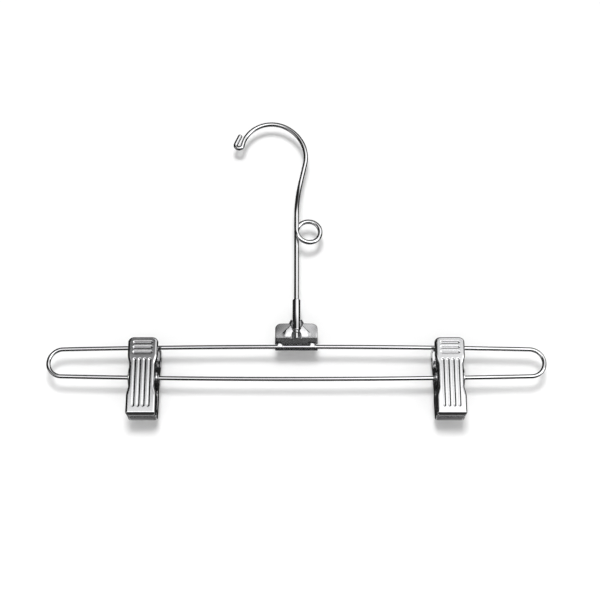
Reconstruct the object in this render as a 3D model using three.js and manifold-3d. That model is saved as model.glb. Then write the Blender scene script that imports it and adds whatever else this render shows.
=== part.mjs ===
// Trouser and skirt hanger: a swivelling wire hook with a pigtail ring, a folded sheet bracket,
// a closed barrel-shaped frame wire, and two sprung sheet-metal clips that slide on its lower run.
//
// Millimetres, +Z up, front towards -Y. The origin is the inner side of the hook's crown, where
// the hook rests on a rod.

import * as THREE from 'three';
import { mergeVertices } from 'three/addons/utils/BufferGeometryUtils.js';
import Module from 'manifold-3d';

const wasm = await Module();
wasm.setup();

const degree = Math.PI / 180;
const quarterTurn = 90 * degree;
const halfTurn = 180 * degree;
const fullTurn = 360 * degree;

// Fits shared by every piece
const runningGap = 0.3;
const cutOverrun = 1;

// Hook wire
const hookWire = 3.4;
const crownRadius = 22.7;
const crownTurnToNeck = 29.5 * degree;
const crownTurnToTip = 80.5 * degree;
const backRadius = 30.1;
const neckLean = 12 * degree;
const neckStraight = 14.5;
const neckRadius = 154;
const curlRadius = 2.6;
const curlTurn = 194 * degree;
const curlLeg = 8.8;
const ringApproach = 11.2;
const ringRadius = 8.85;
const ringStrandGap = 0.6;
const ringShiftShare = 0.45;
const stemBeadWidth = 4.8;
const stemBeadHeight = 1.7;
const stemTail = 4.2;

// Swivel sleeve round the stem
const sleeveOuter = 5.6;
const sleeveLength = 23.8;
const sleeveBelowRing = 54.4;
const sleeveChamfer = 0.4;

// Frame wire
const frameWire = 3;
const frameLength = 356;
const frameGap = 24.1;
const frameEndRadius = 10.1;
const frameBelowSleeve = 12.4;
const buttGap = 0.3;

// Folded bracket
const bracketSheet = 0.9;
const bracketWidth = 30.5;
const bracketCorner = 4;
const leafGap = 0.5;
const leafTop = 17.9;
const leafFlare = 6.6;
const collarRise = 3.2;
const collarTopWall = 0.85;
const collarFootRadius = 5.3;
const collarFootDepth = 1.6;
const collarFrontReach = 1.5;
const gussetWidth = 5.6;
const gussetHeight = 9;
const gussetRise = 1.5;
const archWidth = 8.4;
const archRise = 12.2;
const archFoot = 5.9;
const bracketWindowWidth = 19.6;
const bracketWindowTop = 1.5;
const bracketWindowFoot = 1.4;
const fingerWidth = 3.5;

// Clips
const clipSpacing = 216;
const clipSheet = 0.7;
const clipWidth = 21;
const clipHalfDepth = 11.4;
const clipLean = 5.6 * degree;
const handleHeight = 27;
const jawHeight = 28.4;
const clipTopCorner = 3.5;
const clipFootCorner = 1.3;
const clipEdgeBend = 1.1;
const waistStep = 1.3;
const waistReach = 7.8;
const waistBlend = 6.8;
const handleFlange = 3.2;
const handleShoulder = 11.6;
const earRadius = 7.5;
const earShoulder = 9.4;
const earShoulderInset = 5.6;
const jawShoulder = 9.1;
const jawShoulderInset = 3.1;
const jawSideGap = 1.2;
const lipHeight = 3.8;
const lipBlend = 2;
const mouthGap = 0.4;

// Grooves pressed into the clips' faces, which stand out as ribs on the inside
const ribWidth = 2.1;
const ribDepth = 0.45;
const ribPitch = 3.55;
const crossRibCount = 3;
const crossRibLength = 13.5;
const crossRibFromTop = 3.8;
const longRibCount = 4;
const longRibTop = 11.8;
const longRibFoot = 22.6;
const ribEdgeBend = 0.27;

// Pivot tubes and springs of the clips
const wireSlack = 0.6;
const tubeWall = 0.5;
const tubeFlareRadius = 3.5;
const tubeFlareHeight = 0.5;
const springWire = 1.3;
const springTurns = 6;
const springPitch = 1.85;
const springLegTop = 17.4;
const springLegFit = 0.3;

// Fineness of the round shapes
const wireSides = 10;
const wireBendStep = 6.5 * degree;
const tightBendStep = 16 * degree;
const longRunSteps = 8;
const roundSides = 24;
const cornerSteps = 4;
const springSides = 5;
const springStepsPerTurn = 8;
const gapSamplesPerStep = 12;

// Sizes worked out from the driving ones
const hookRadius = hookWire / 2;
const frameRadius = frameWire / 2;
const sleeveRadius = sleeveOuter / 2;
const sleeveBore = hookRadius + runningGap;
const strandShift = hookWire + ringStrandGap;
const bracketHalf = bracketWidth / 2;
const leafOuter = leafGap / 2 + bracketSheet;
const clipHalf = clipWidth / 2;
const rearWaistStep = waistStep - clipSheet - runningGap;
const rearEarFace = clipHalf - rearWaistStep;
const tubeInner = frameRadius + wireSlack;
const tubeOuter = tubeInner + tubeWall;
const pivotHole = tubeOuter + runningGap;
const springRadius = tubeOuter + runningGap + springWire / 2;

function sharesOf(steps) {
  return Array.from({ length: steps }, (_, index) => index / steps);
}

function smoothShare(share) {
  const inside = Math.min(Math.max(share, 0), 1);
  return inside * inside * (3 - 2 * inside);
}

// A wire's centreline as a bend table in the XZ plane. A run is straight, with a length, or an
// arc, with a radius and a turn that is positive to the left. shift moves a run in Y.
class BentWirePath extends THREE.Curve {
  constructor(start, heading, runs) {
    super();
    this.runs = [];
    this.steps = 0;
    let at = start.clone();
    let facing = heading;
    for (const run of runs) {
      const placed = { ...run, start: at, heading: facing, firstStep: this.steps };
      this.runs.push(placed);
      this.steps += run.steps;
      at = this.pointOnRun(placed, 1);
      facing += run.turn ?? 0;
    }
    this.end = at;
    this.endHeading = facing;
  }

  pointOnRun(run, share) {
    const point = run.start.clone();
    if (run.turn) {
      const side = Math.sign(run.turn);
      const swept = run.heading + run.turn * share;
      point.x += side * run.radius * (Math.sin(swept) - Math.sin(run.heading));
      point.z -= side * run.radius * (Math.cos(swept) - Math.cos(run.heading));
    } else {
      point.x += run.length * share * Math.cos(run.heading);
      point.z += run.length * share * Math.sin(run.heading);
    }
    point.y = run.shift ? run.shift(share) : run.start.y;
    return point;
  }

  getPoint(t, target = new THREE.Vector3()) {
    const step = Math.min(Math.max(t, 0), 1) * this.steps;
    const run = this.runs.findLast((each) => each.firstStep <= step) ?? this.runs[0];
    return target.copy(this.pointOnRun(run, (step - run.firstStep) / run.steps));
  }

  getUtoTmapping(u) {
    return u;
  }
}

function straightRun(length, steps = 1, shift = null) {
  return { length, steps, shift };
}

function bentRun(radius, turn, stepTurn = wireBendStep, shift = null) {
  return { radius, turn, steps: Math.ceil(Math.abs(turn) / stepTurn), shift };
}

function roundSection(radius, sides) {
  const corners = sharesOf(sides).map((share) => new THREE.Vector2(
    radius * Math.cos(fullTurn * share),
    radius * Math.sin(fullTurn * share),
  ));
  return new THREE.Shape(corners);
}

function wireAlong(path, radius, sides = wireSides) {
  return new THREE.ExtrudeGeometry(roundSection(radius, sides), {
    extrudePath: path,
    steps: path.steps,
  });
}

function solidFrom(geometry) {
  const bare = geometry.clone();
  bare.deleteAttribute('normal');
  bare.deleteAttribute('uv');
  const merged = mergeVertices(bare);
  const mesh = new wasm.Mesh({
    numProp: 3,
    vertProperties: new Float32Array(merged.attributes.position.array),
    triVerts: new Uint32Array(merged.index.array),
  });
  return new wasm.Manifold(mesh);
}

function geometryFrom(solid) {
  const mesh = solid.getMesh();
  const geometry = new THREE.BufferGeometry();
  geometry.setAttribute('position', new THREE.BufferAttribute(mesh.vertProperties, 3));
  geometry.setIndex(new THREE.BufferAttribute(mesh.triVerts, 1));
  geometry.computeVertexNormals();
  return geometry;
}

function joined(solids) {
  return solids.reduce((whole, solid) => whole.add(solid));
}

function without(solid, cuts) {
  return cuts.reduce((rest, cut) => rest.subtract(cut), solid);
}

// A block between two corners
function block(low, high) {
  const size = high.clone().sub(low);
  const geometry = new THREE.BoxGeometry(size.x, size.y, size.z);
  geometry.translate(low.x + size.x / 2, low.y + size.y / 2, low.z + size.z / 2);
  return solidFrom(geometry);
}

// A turned solid round a vertical line, from [radius, height] corners that start and end on it
function turned(profile, x, sides = roundSides) {
  const corners = profile.map(([radius, height]) => new THREE.Vector2(radius, height));
  const geometry = new THREE.LatheGeometry(corners, sides);
  geometry.rotateX(quarterTurn);
  geometry.translate(x, 0, 0);
  return solidFrom(geometry);
}

// An outline drawn in X and Z, made into a solid between two depths in Y
function pressedAlongY(outline, front, back, bend = 0) {
  const geometry = new THREE.ExtrudeGeometry(outline, {
    depth: back - front - 2 * bend,
    steps: 1,
    curveSegments: cornerSteps,
    bevelEnabled: bend > 0,
    bevelThickness: bend,
    bevelSize: bend,
    bevelOffset: -bend,
    bevelSegments: 2,
  });
  geometry.rotateX(quarterTurn);
  geometry.translate(0, back - bend, 0);
  return solidFrom(geometry);
}

// An outline drawn in Y and Z, made into a solid of a given width, centred on a place in X
function pressedAlongX(outline, width, x) {
  const geometry = new THREE.ExtrudeGeometry(outline, {
    depth: width,
    steps: 1,
    curveSegments: roundSides,
    bevelEnabled: false,
  });
  const turnToX = new THREE.Matrix4().makeBasis(
    new THREE.Vector3(0, 1, 0),
    new THREE.Vector3(0, 0, 1),
    new THREE.Vector3(1, 0, 0),
  );
  geometry.applyMatrix4(turnToX);
  geometry.translate(x - width / 2, 0, 0);
  return solidFrom(geometry);
}

// The hook is drawn from its crown: one path to the tip, one to the stem's end
function hookTipRuns() {
  return [
    bentRun(crownRadius, crownTurnToTip),
    bentRun(curlRadius, -curlTurn, tightBendStep),
    straightRun(curlLeg),
  ];
}

function hookNeckRuns() {
  const crownShift = () => 0;
  const strandForward = (share) => -strandShift * smoothShare(share);
  const strandFront = () => -strandShift;
  const ringBack = (share) => -strandShift * (1 - smoothShare(share / ringShiftShare));
  return [
    bentRun(crownRadius, -crownTurnToNeck, wireBendStep, crownShift),
    bentRun(backRadius, -(quarterTurn + neckLean - crownTurnToNeck), wireBendStep, crownShift),
    straightRun(neckStraight, 1, crownShift),
    { ...bentRun(neckRadius, neckLean, wireBendStep, strandForward), steps: longRunSteps },
    straightRun(ringApproach, 1, strandFront),
    bentRun(ringRadius, fullTurn, 2 * wireBendStep, ringBack),
  ];
}

const crownCentre = new THREE.Vector3(0, 0, hookRadius);
const neckPath = new BentWirePath(crownCentre, 0, hookNeckRuns());
const stemX = neckPath.end.x;
const ringZ = neckPath.end.z;
const sleeveTop = ringZ - sleeveBelowRing;
const sleeveFoot = sleeveTop - sleeveLength;
const beadTop = sleeveFoot - runningGap;
const stemFoot = beadTop - stemBeadHeight - stemTail;
const wireTopZ = sleeveFoot - frameBelowSleeve;
const frameMidZ = wireTopZ - frameGap / 2;

// The tip's runs are walked backwards, so the whole hook is one unbroken path
function hookPath() {
  const tipPath = new BentWirePath(crownCentre, halfTurn, hookTipRuns());
  const stemRun = straightRun(ringZ - stemFoot, 1, () => 0);
  const backwards = [
    straightRun(curlLeg),
    bentRun(curlRadius, curlTurn, tightBendStep),
    bentRun(crownRadius, -crownTurnToTip),
  ];
  const start = tipPath.end;
  const heading = tipPath.endHeading - halfTurn;
  return new BentWirePath(start, heading, [...backwards, ...hookNeckRuns(), stemRun]);
}

function hookSolid() {
  const beadRadius = stemBeadWidth / 2;
  const beadFoot = beadTop - stemBeadHeight;
  const bead = turned([
    [0, beadFoot],
    [hookRadius, beadFoot],
    [beadRadius, beadTop - stemBeadHeight / 2],
    [beadRadius, beadTop],
    [0, beadTop],
  ], stemX);
  return joined([solidFrom(wireAlong(hookPath(), hookRadius)), bead]);
}

function sleeveSolid() {
  const shell = turned([
    [0, sleeveFoot],
    [sleeveRadius, sleeveFoot],
    [sleeveRadius, sleeveTop - sleeveChamfer],
    [sleeveRadius - sleeveChamfer, sleeveTop],
    [0, sleeveTop],
  ], stemX);
  const bore = turned([
    [0, sleeveFoot - cutOverrun],
    [sleeveBore, sleeveFoot - cutOverrun],
    [sleeveBore, sleeveTop + cutOverrun],
    [0, sleeveTop + cutOverrun],
  ], stemX);
  return shell.subtract(bore);
}

// The frame's long runs bow outwards, as arcs that meet the end bends without a corner
const frameEndX = frameLength / 2 - frameRadius - frameEndRadius;
const bowSpare = frameGap / 2 - frameEndRadius;
const bowRadius = (frameEndX ** 2 / bowSpare + frameGap / 2 + frameEndRadius) / 2;
const bowTurn = Math.asin(frameEndX / (bowRadius - frameEndRadius));
const buttX = bracketWindowWidth / 2 + fingerWidth / 2;

// How far the bowed runs stand in from their height at the middle
function bowAt(x) {
  return bowRadius - Math.sqrt(bowRadius ** 2 - x ** 2);
}

// The wire starts and ends at its butt joint, which one of the bracket's fingers covers
function framePath() {
  const startTurn = Math.asin((buttX + buttGap / 2) / bowRadius);
  const endTurn = Math.asin((buttX - buttGap / 2) / bowRadius);
  const start = new THREE.Vector3(
    stemX + bowRadius * Math.sin(startTurn),
    0,
    wireTopZ - bowAt(buttX + buttGap / 2),
  );
  const longRun = (turn) => ({ radius: bowRadius, turn: -turn, steps: longRunSteps });
  const endBend = bentRun(frameEndRadius, 2 * bowTurn - halfTurn, 2 * wireBendStep);
  return new BentWirePath(start, -startTurn, [
    longRun(bowTurn - startTurn),
    endBend,
    { ...longRun(2 * bowTurn), steps: 2 * longRunSteps },
    endBend,
    longRun(bowTurn + endTurn),
  ]);
}

function frameSolid() {
  return solidFrom(wireAlong(framePath(), frameRadius));
}

// Where a line from a point outside a circle about the origin touches it, as a polar angle
function touchAngle(point, radius, side) {
  return Math.atan2(point.y, point.x) + side * Math.acos(radius / point.length());
}

// The folded strip seen from its end: round the wire at the foot, its two leaves close above
function bracketStrip() {
  const foldInner = frameRadius + runningGap;
  const foldOuter = foldInner + bracketSheet;
  const innerNeck = new THREE.Vector2(leafGap / 2, leafFlare);
  const outerNeck = new THREE.Vector2(leafOuter, leafFlare);
  const outerTouch = touchAngle(outerNeck, foldOuter, -1);
  const innerTouch = touchAngle(innerNeck, foldInner, -1);
  const strip = new THREE.Shape();
  strip.moveTo(leafOuter, leafTop);
  strip.lineTo(leafOuter, leafFlare);
  strip.absarc(0, 0, foldOuter, outerTouch, halfTurn - outerTouch, true);
  strip.lineTo(-leafOuter, leafFlare);
  strip.lineTo(-leafOuter, leafTop);
  strip.lineTo(-leafGap / 2, leafTop);
  strip.lineTo(-leafGap / 2, leafFlare);
  strip.absarc(0, 0, foldInner, halfTurn - innerTouch, innerTouch, false);
  strip.lineTo(leafGap / 2, leafFlare);
  strip.lineTo(leafGap / 2, leafTop);
  strip.closePath();
  return pressedAlongX(strip, bracketWidth, 0);
}

// The strip's face: square at the foot, rounded at its two upper corners
function bracketFace() {
  const foot = -(frameRadius + runningGap + bracketSheet + cutOverrun);
  const reach = leafOuter + frameWire + cutOverrun;
  const face = new THREE.Shape();
  face.moveTo(-bracketHalf, foot);
  face.lineTo(bracketHalf, foot);
  const cornerX = bracketHalf - bracketCorner;
  const cornerZ = leafTop - bracketCorner;
  face.absarc(cornerX, cornerZ, bracketCorner, 0, quarterTurn, false);
  face.absarc(-cornerX, cornerZ, bracketCorner, quarterTurn, halfTurn, false);
  face.closePath();
  return pressedAlongY(face, -reach, reach);
}

const channelBore = sleeveRadius + runningGap;
const channelRadius = channelBore + bracketSheet;
const channelFoot = stemFoot - runningGap - wireTopZ;
const sleeveSeat = sleeveFoot - wireTopZ;

// The half-round channel pressed into both leaves, with its flared collar above them
function channelSolid() {
  const floor = channelFoot - bracketSheet;
  const channel = turned([
    [0, floor],
    [channelRadius - bracketSheet, floor],
    [channelRadius, channelFoot],
    [channelRadius, leafTop - collarFootDepth],
    [collarFootRadius, leafTop],
    [channelBore + collarTopWall, leafTop + collarRise],
    [0, leafTop + collarRise],
  ], 0);
  const frontFoot = block(
    new THREE.Vector3(-channelRadius - cutOverrun, -channelRadius - cutOverrun, floor - cutOverrun),
    new THREE.Vector3(channelRadius + cutOverrun, -leafGap / 2, archFoot),
  );
  return channel.subtract(frontFoot);
}

function channelCuts() {
  const beadRoom = stemBeadWidth / 2 + runningGap;
  const collarTop = leafTop + collarRise + cutOverrun;
  const bore = turned([
    [0, channelFoot],
    [beadRoom, channelFoot],
    [beadRoom, sleeveSeat - runningGap],
    [channelBore, sleeveSeat - runningGap],
    [channelBore, collarTop],
    [0, collarTop],
  ], 0);
  const openFront = block(
    new THREE.Vector3(-channelRadius, -collarFootRadius - cutOverrun, sleeveSeat),
    new THREE.Vector3(channelRadius, -collarFrontReach, collarTop),
  );
  return [bore, openFront];
}

// A wedge beside the channel, raised from the front leaf and cut off along a 45 degree crease
function gusset(side) {
  const inner = channelRadius - bracketSheet;
  const face = -leafOuter + cutOverrun / 2;
  const wedge = new THREE.Shape();
  wedge.moveTo(inner, face);
  wedge.lineTo(inner, -leafOuter - gussetRise);
  wedge.lineTo(inner + gussetWidth, -leafOuter);
  wedge.lineTo(inner + gussetWidth, face);
  wedge.closePath();
  const geometry = new THREE.ExtrudeGeometry(wedge, {
    depth: gussetHeight,
    steps: 1,
    bevelEnabled: false,
  });
  geometry.translate(0, 0, leafFlare);
  const crease = new THREE.BoxGeometry(gussetHeight * 2, gussetHeight, gussetHeight);
  crease.translate(0, 0, gussetHeight / 2);
  crease.rotateY(quarterTurn / 2);
  crease.translate(inner, -leafOuter, leafFlare + gussetHeight);
  const right = solidFrom(geometry).subtract(solidFrom(crease));
  return side > 0 ? right : right.mirror([1, 0, 0]);
}

// The round-topped window that shows the stem's end, through the front leaf only
function archCut() {
  const half = archWidth / 2;
  const arch = new THREE.Shape();
  arch.moveTo(-half, archFoot);
  arch.lineTo(half, archFoot);
  arch.absellipse(0, archFoot, half, archRise - archFoot, 0, halfTurn, false);
  arch.closePath();
  return pressedAlongY(arch, -leafOuter - gussetRise - cutOverrun * 2, -leafGap / 2);
}

// The openings in the fold's front, which leave two fingers over the wire
function fingerCuts() {
  const front = -frameRadius - runningGap - bracketSheet - cutOverrun;
  const cutBetween = (from, to) => block(
    new THREE.Vector3(from, front, -bracketWindowFoot),
    new THREE.Vector3(to, 0, bracketWindowTop),
  );
  const half = bracketWindowWidth / 2;
  const fingerEnd = half + fingerWidth;
  const past = bracketHalf + cutOverrun;
  return [cutBetween(-half, half), cutBetween(fingerEnd, past), cutBetween(-past, -fingerEnd)];
}

function bracketSolid() {
  const strip = bracketStrip().intersect(bracketFace());
  const formed = joined([strip, channelSolid(), gusset(1), gusset(-1)]);
  const cut = without(formed, [...channelCuts(), archCut(), ...fingerCuts()]);
  return cut.translate([stemX, 0, wireTopZ]);
}

// One side of the waist: down or up from the full width to the narrow one and back, in smooth
// S curves, with a flat stretch between them where the ears turn beside each other
function drawWaist(outline, half, narrow, way) {
  const blendTop = waistReach + waistBlend;
  const blendMiddle = waistReach + waistBlend / 2;
  outline.lineTo(half, -way * blendTop);
  outline.bezierCurveTo(half, -way * blendMiddle, narrow, -way * blendMiddle, narrow, -way * waistReach);
  outline.lineTo(narrow, way * waistReach);
  outline.bezierCurveTo(narrow, way * blendMiddle, half, way * blendMiddle, half, way * blendTop);
}

// A clip half's outline seen from its face. inset draws the inner side of the sheet.
function clipOutline(waist, inset) {
  const half = clipHalf - inset;
  const narrow = half - waist;
  const top = handleHeight - inset;
  const foot = -jawHeight + inset;
  const topCorner = clipTopCorner - inset;
  const footCorner = clipFootCorner - inset;
  const outline = new THREE.Shape();
  outline.moveTo(-half + footCorner, foot);
  outline.lineTo(half - footCorner, foot);
  outline.absarc(half - footCorner, foot + footCorner, footCorner, -quarterTurn, 0, false);
  drawWaist(outline, half, narrow, 1);
  outline.absarc(half - topCorner, top - topCorner, topCorner, 0, quarterTurn, false);
  outline.absarc(topCorner - half, top - topCorner, topCorner, quarterTurn, halfTurn, false);
  drawWaist(outline, -half, -narrow, -1);
  outline.absarc(footCorner - half, foot + footCorner, footCorner, halfTurn, halfTurn + quarterTurn, false);
  outline.closePath();
  return outline;
}

// A clip half's side seen from its end: handle flange, round ear, jaw flange and lip
function clipSide() {
  const front = -clipHalfDepth - cutOverrun;
  const handleEdge = -clipHalfDepth + handleFlange;
  const past = cutOverrun;
  const mouthAt = (height) => height * Math.tan(clipLean);
  const topShoulder = new THREE.Vector2(-earShoulderInset, earShoulder);
  const footShoulder = new THREE.Vector2(-jawShoulderInset, -jawShoulder);
  const lipTop = -jawHeight + lipHeight;
  const side = new THREE.Shape();
  side.moveTo(front, -jawHeight - past);
  side.lineTo(mouthAt(-jawHeight - past) - mouthGap / 2, -jawHeight - past);
  side.lineTo(mouthAt(lipTop) - mouthGap / 2, lipTop);
  side.lineTo(mouthAt(lipTop) - jawSideGap, lipTop + lipBlend);
  side.lineTo(mouthAt(-jawShoulder) - jawSideGap - runningGap, -jawShoulder - lipBlend);
  side.lineTo(footShoulder.x, footShoulder.y);
  side.absarc(
    0, 0, earRadius,
    touchAngle(footShoulder, earRadius, 1),
    touchAngle(topShoulder, earRadius, -1),
    false,
  );
  side.lineTo(topShoulder.x, topShoulder.y);
  side.lineTo(handleEdge, handleShoulder);
  side.lineTo(handleEdge, handleHeight + past);
  side.lineTo(front, handleHeight + past);
  side.closePath();
  return pressedAlongX(side, clipWidth + 2 * cutOverrun, 0);
}

// One rib as a round-ended bar across the clip or along it, between two depths. spread widens
// the groove's form to the rib's on the inside of the sheet.
function ribSolid({ x, z, length, across }, spread, front, back) {
  const half = ribWidth / 2 + spread;
  const run = length / 2 - ribWidth / 2;
  const rib = new THREE.Shape();
  rib.absarc(run, 0, half, -quarterTurn, quarterTurn, false);
  rib.absarc(-run, 0, half, quarterTurn, halfTurn + quarterTurn, false);
  rib.closePath();
  const solid = pressedAlongY(rib, front, back, ribEdgeBend);
  const turnedRib = across ? solid : solid.rotate([0, quarterTurn / degree, 0]);
  return turnedRib.translate([x, 0, z]);
}

// Every rib's place on the clip's face: short ones across the handle, long ones down the jaw
function ribPlaces() {
  const across = sharesOf(crossRibCount).map((share) => ({
    x: 0,
    z: handleHeight - crossRibFromTop - share * crossRibCount * ribPitch,
    length: crossRibLength,
    across: true,
  }));
  const along = sharesOf(longRibCount).map((share) => ({
    x: (share * longRibCount - (longRibCount - 1) / 2) * ribPitch,
    z: (longRibTop - longRibFoot) / 2,
    length: longRibTop + longRibFoot,
    across: false,
  }));
  return [...across, ...along];
}

function pivotHoleCut() {
  const geometry = new THREE.CylinderGeometry(pivotHole, pivotHole, clipWidth * 2, roundSides);
  geometry.rotateZ(quarterTurn);
  return solidFrom(geometry);
}

// A clip half: a shallow pressed pan with a rim all round, shaped from the side, ribs pressed in
function clipHalfSolid(waist) {
  const face = -clipHalfDepth;
  const rimBack = earRadius + cutOverrun;
  const outer = pressedAlongY(clipOutline(waist, 0), face, rimBack + clipEdgeBend, clipEdgeBend);
  const inner = pressedAlongY(clipOutline(waist, clipSheet), face + clipSheet, rimBack + 2 * clipEdgeBend);
  const back = face + clipSheet;
  const ribs = ribPlaces().map((rib) => ribSolid(rib, clipSheet / 2, face, back + ribDepth));
  const grooves = ribPlaces().map((rib) => ribSolid(rib, 0, face - cutOverrun, face + ribDepth));
  const pan = joined([outer.subtract(inner), ...ribs]);
  return without(pan.intersect(clipSide()), [...grooves, pivotHoleCut()]);
}

// A hollow rivet that holds the two halves together and slides on the wire
function tubeSolid() {
  const flareInner = rearEarFace + runningGap;
  const end = flareInner + tubeFlareHeight;
  const profile = [
    [tubeInner, -end],
    [tubeFlareRadius, -end],
    [tubeFlareRadius, -flareInner],
    [tubeOuter, -flareInner],
    [tubeOuter, flareInner],
    [tubeFlareRadius, flareInner],
    [tubeFlareRadius, end],
    [tubeInner, end],
    [tubeInner, -end],
  ];
  const corners = profile.map(([radius, height]) => new THREE.Vector2(radius, height));
  const geometry = new THREE.LatheGeometry(corners, roundSides);
  geometry.rotateZ(-quarterTurn);
  return solidFrom(geometry);
}

// The torsion spring's centreline: a leg from one handle, the coil round the tube, the other leg
class SpringPath extends THREE.Curve {
  constructor() {
    super();
    const plate = clipHalfDepth - clipSheet - ribDepth - springLegFit - springWire / 2;
    const legEndY = (plate + springLegTop * Math.sin(clipLean)) / Math.cos(clipLean);
    const legEnd = new THREE.Vector2(legEndY, springLegTop);
    this.legEnd = legEnd;
    this.leaveAngle = touchAngle(legEnd, springRadius, -1);
    this.coilTurn = springTurns * fullTurn + 2 * (this.leaveAngle - quarterTurn) + fullTurn;
    this.coilSteps = Math.ceil(this.coilTurn / fullTurn * springStepsPerTurn);
    this.coilLength = this.coilTurn / fullTurn * springPitch;
    this.steps = this.coilSteps + 2;
  }

  // The coil winds from the rear leg's side of the tube to the front leg's side
  coilPoint(share) {
    const angle = this.leaveAngle - this.coilTurn * share;
    return new THREE.Vector3(
      this.coilLength * (share - 1 / 2),
      springRadius * Math.cos(angle),
      springRadius * Math.sin(angle),
    );
  }

  getPoint(t, target = new THREE.Vector3()) {
    const step = Math.min(Math.max(t, 0), 1) * this.steps;
    const halfLength = this.coilLength / 2;
    const rearEnd = new THREE.Vector3(-halfLength, this.legEnd.x, this.legEnd.y);
    const frontEnd = new THREE.Vector3(halfLength, -this.legEnd.x, this.legEnd.y);
    if (step < 1) {
      return target.lerpVectors(rearEnd, this.coilPoint(0), step);
    }
    if (step > this.steps - 1) {
      return target.lerpVectors(this.coilPoint(1), frontEnd, step - this.steps + 1);
    }
    return target.copy(this.coilPoint((step - 1) / this.coilSteps));
  }

  getUtoTmapping(u) {
    return u;
  }
}

const springPath = new SpringPath();

// The least gap between two stretches of the spring that lie more than half a turn apart
function springLeastGap() {
  const samples = springPath.steps * gapSamplesPerStep;
  const apart = Math.ceil(samples / springPath.steps * springStepsPerTurn / 2);
  const points = springPath.getPoints(samples);
  let least = Infinity;
  for (let first = 0; first < points.length; first += 1) {
    for (let second = first + apart; second < points.length; second += 1) {
      least = Math.min(least, points[first].distanceTo(points[second]));
    }
  }
  return least - springWire;
}

const materials = {
  chrome: { color: 0xd9dbdd, roughness: 0.12, metalness: 1 },
  satin: { color: 0xb6b8ba, roughness: 0.34, metalness: 1 },
  nickel: { color: 0xc4c5c6, roughness: 0.28, metalness: 1 },
  spring: { color: 0x8f9193, roughness: 0.3, metalness: 1 },
};

function named(name, solidOrGeometry, finish) {
  const isGeometry = solidOrGeometry instanceof THREE.BufferGeometry;
  const geometry = isGeometry ? solidOrGeometry : geometryFrom(solidOrGeometry);
  const mesh = new THREE.Mesh(geometry, new THREE.MeshStandardMaterial(materials[finish]));
  mesh.name = name;
  return mesh;
}

// The front half's waist leaves room for the rear half's ears outside its own
const frontHalf = clipHalfSolid(waistStep);
const rearHalf = clipHalfSolid(rearWaistStep).rotate([0, 0, halfTurn / degree]);

// One clip, with its pivot on the lower run of the frame wire
function clip(side, prefix) {
  const group = new THREE.Group();
  const x = side * clipSpacing / 2;
  group.position.set(stemX + x, 0, frameMidZ - frameGap / 2 + bowAt(x));
  const front = named(`${prefix}_front_jaw`, frontHalf, 'nickel');
  const rear = named(`${prefix}_rear_jaw`, rearHalf, 'nickel');
  front.rotation.x = clipLean;
  rear.rotation.x = -clipLean;
  const spring = wireAlong(springPath, springWire / 2, springSides);
  group.add(
    front,
    rear,
    named(`${prefix}_pivot_tube`, tubeSolid(), 'satin'),
    named(`${prefix}_spring`, solidFrom(spring), 'spring'),
  );
  return group;
}

const hanger = new THREE.Group();
hanger.add(
  named('hook_wire', hookSolid(), 'chrome'),
  named('swivel_sleeve', sleeveSolid(), 'chrome'),
  named('top_bracket', bracketSolid(), 'satin'),
  named('frame_wire', frameSolid(), 'chrome'),
  clip(-1, 'left'),
  clip(1, 'right'),
);

console.log(`least gap of a spring to itself: ${springLeastGap().toFixed(2)} mm`);

export default hanger;
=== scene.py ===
"""A trouser and skirt hanger: its finished metal surfaces, its studio and its camera.

Every length is in metres, with +Z up and the front towards -Y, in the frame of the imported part.
"""

import logging
import math
from collections.abc import Callable, Iterable, Sequence
from dataclasses import dataclass, field
from enum import Enum

import bpy
from mathutils import Matrix, Vector


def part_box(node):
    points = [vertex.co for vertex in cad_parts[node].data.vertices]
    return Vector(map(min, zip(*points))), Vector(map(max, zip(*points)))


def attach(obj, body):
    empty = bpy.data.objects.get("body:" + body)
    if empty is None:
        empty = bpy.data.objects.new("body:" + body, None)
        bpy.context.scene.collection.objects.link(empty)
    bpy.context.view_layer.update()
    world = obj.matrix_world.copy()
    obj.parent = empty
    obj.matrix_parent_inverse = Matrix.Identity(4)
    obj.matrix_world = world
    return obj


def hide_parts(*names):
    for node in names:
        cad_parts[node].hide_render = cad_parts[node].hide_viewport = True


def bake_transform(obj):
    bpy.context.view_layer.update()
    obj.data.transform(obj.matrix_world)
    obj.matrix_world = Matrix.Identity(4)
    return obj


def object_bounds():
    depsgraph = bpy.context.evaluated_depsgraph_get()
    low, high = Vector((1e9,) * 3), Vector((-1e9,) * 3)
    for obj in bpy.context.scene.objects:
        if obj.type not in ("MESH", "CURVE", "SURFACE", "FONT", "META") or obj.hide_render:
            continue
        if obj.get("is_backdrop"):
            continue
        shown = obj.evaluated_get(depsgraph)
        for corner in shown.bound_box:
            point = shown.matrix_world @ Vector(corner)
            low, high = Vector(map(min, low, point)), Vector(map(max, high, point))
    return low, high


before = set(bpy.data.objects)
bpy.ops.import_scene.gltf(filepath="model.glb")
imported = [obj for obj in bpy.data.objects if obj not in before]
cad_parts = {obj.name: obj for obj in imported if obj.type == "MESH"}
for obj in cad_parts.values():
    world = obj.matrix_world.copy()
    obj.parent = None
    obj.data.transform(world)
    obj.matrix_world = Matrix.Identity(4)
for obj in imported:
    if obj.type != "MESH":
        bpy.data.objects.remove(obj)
cad_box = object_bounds()

log = logging.getLogger("hanger")

MM = 0.001
RIGHT_ANGLE = math.pi / 2
FULL_TURN = 2 * math.pi
SHARP_ANGLE = math.radians(38)
WHITE = (1.0, 1.0, 1.0, 1.0)
HOOK_WIRE = 3.4 * MM
RUNNING_GAP = 0.3 * MM


class Slot(Enum):
    """The part's own names for its finishes."""

    CHROME = "chrome_wire"
    BRACKET = "satin_bracket"
    CLIP = "clip_sheet"
    SPRING = "spring_wire"


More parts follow.
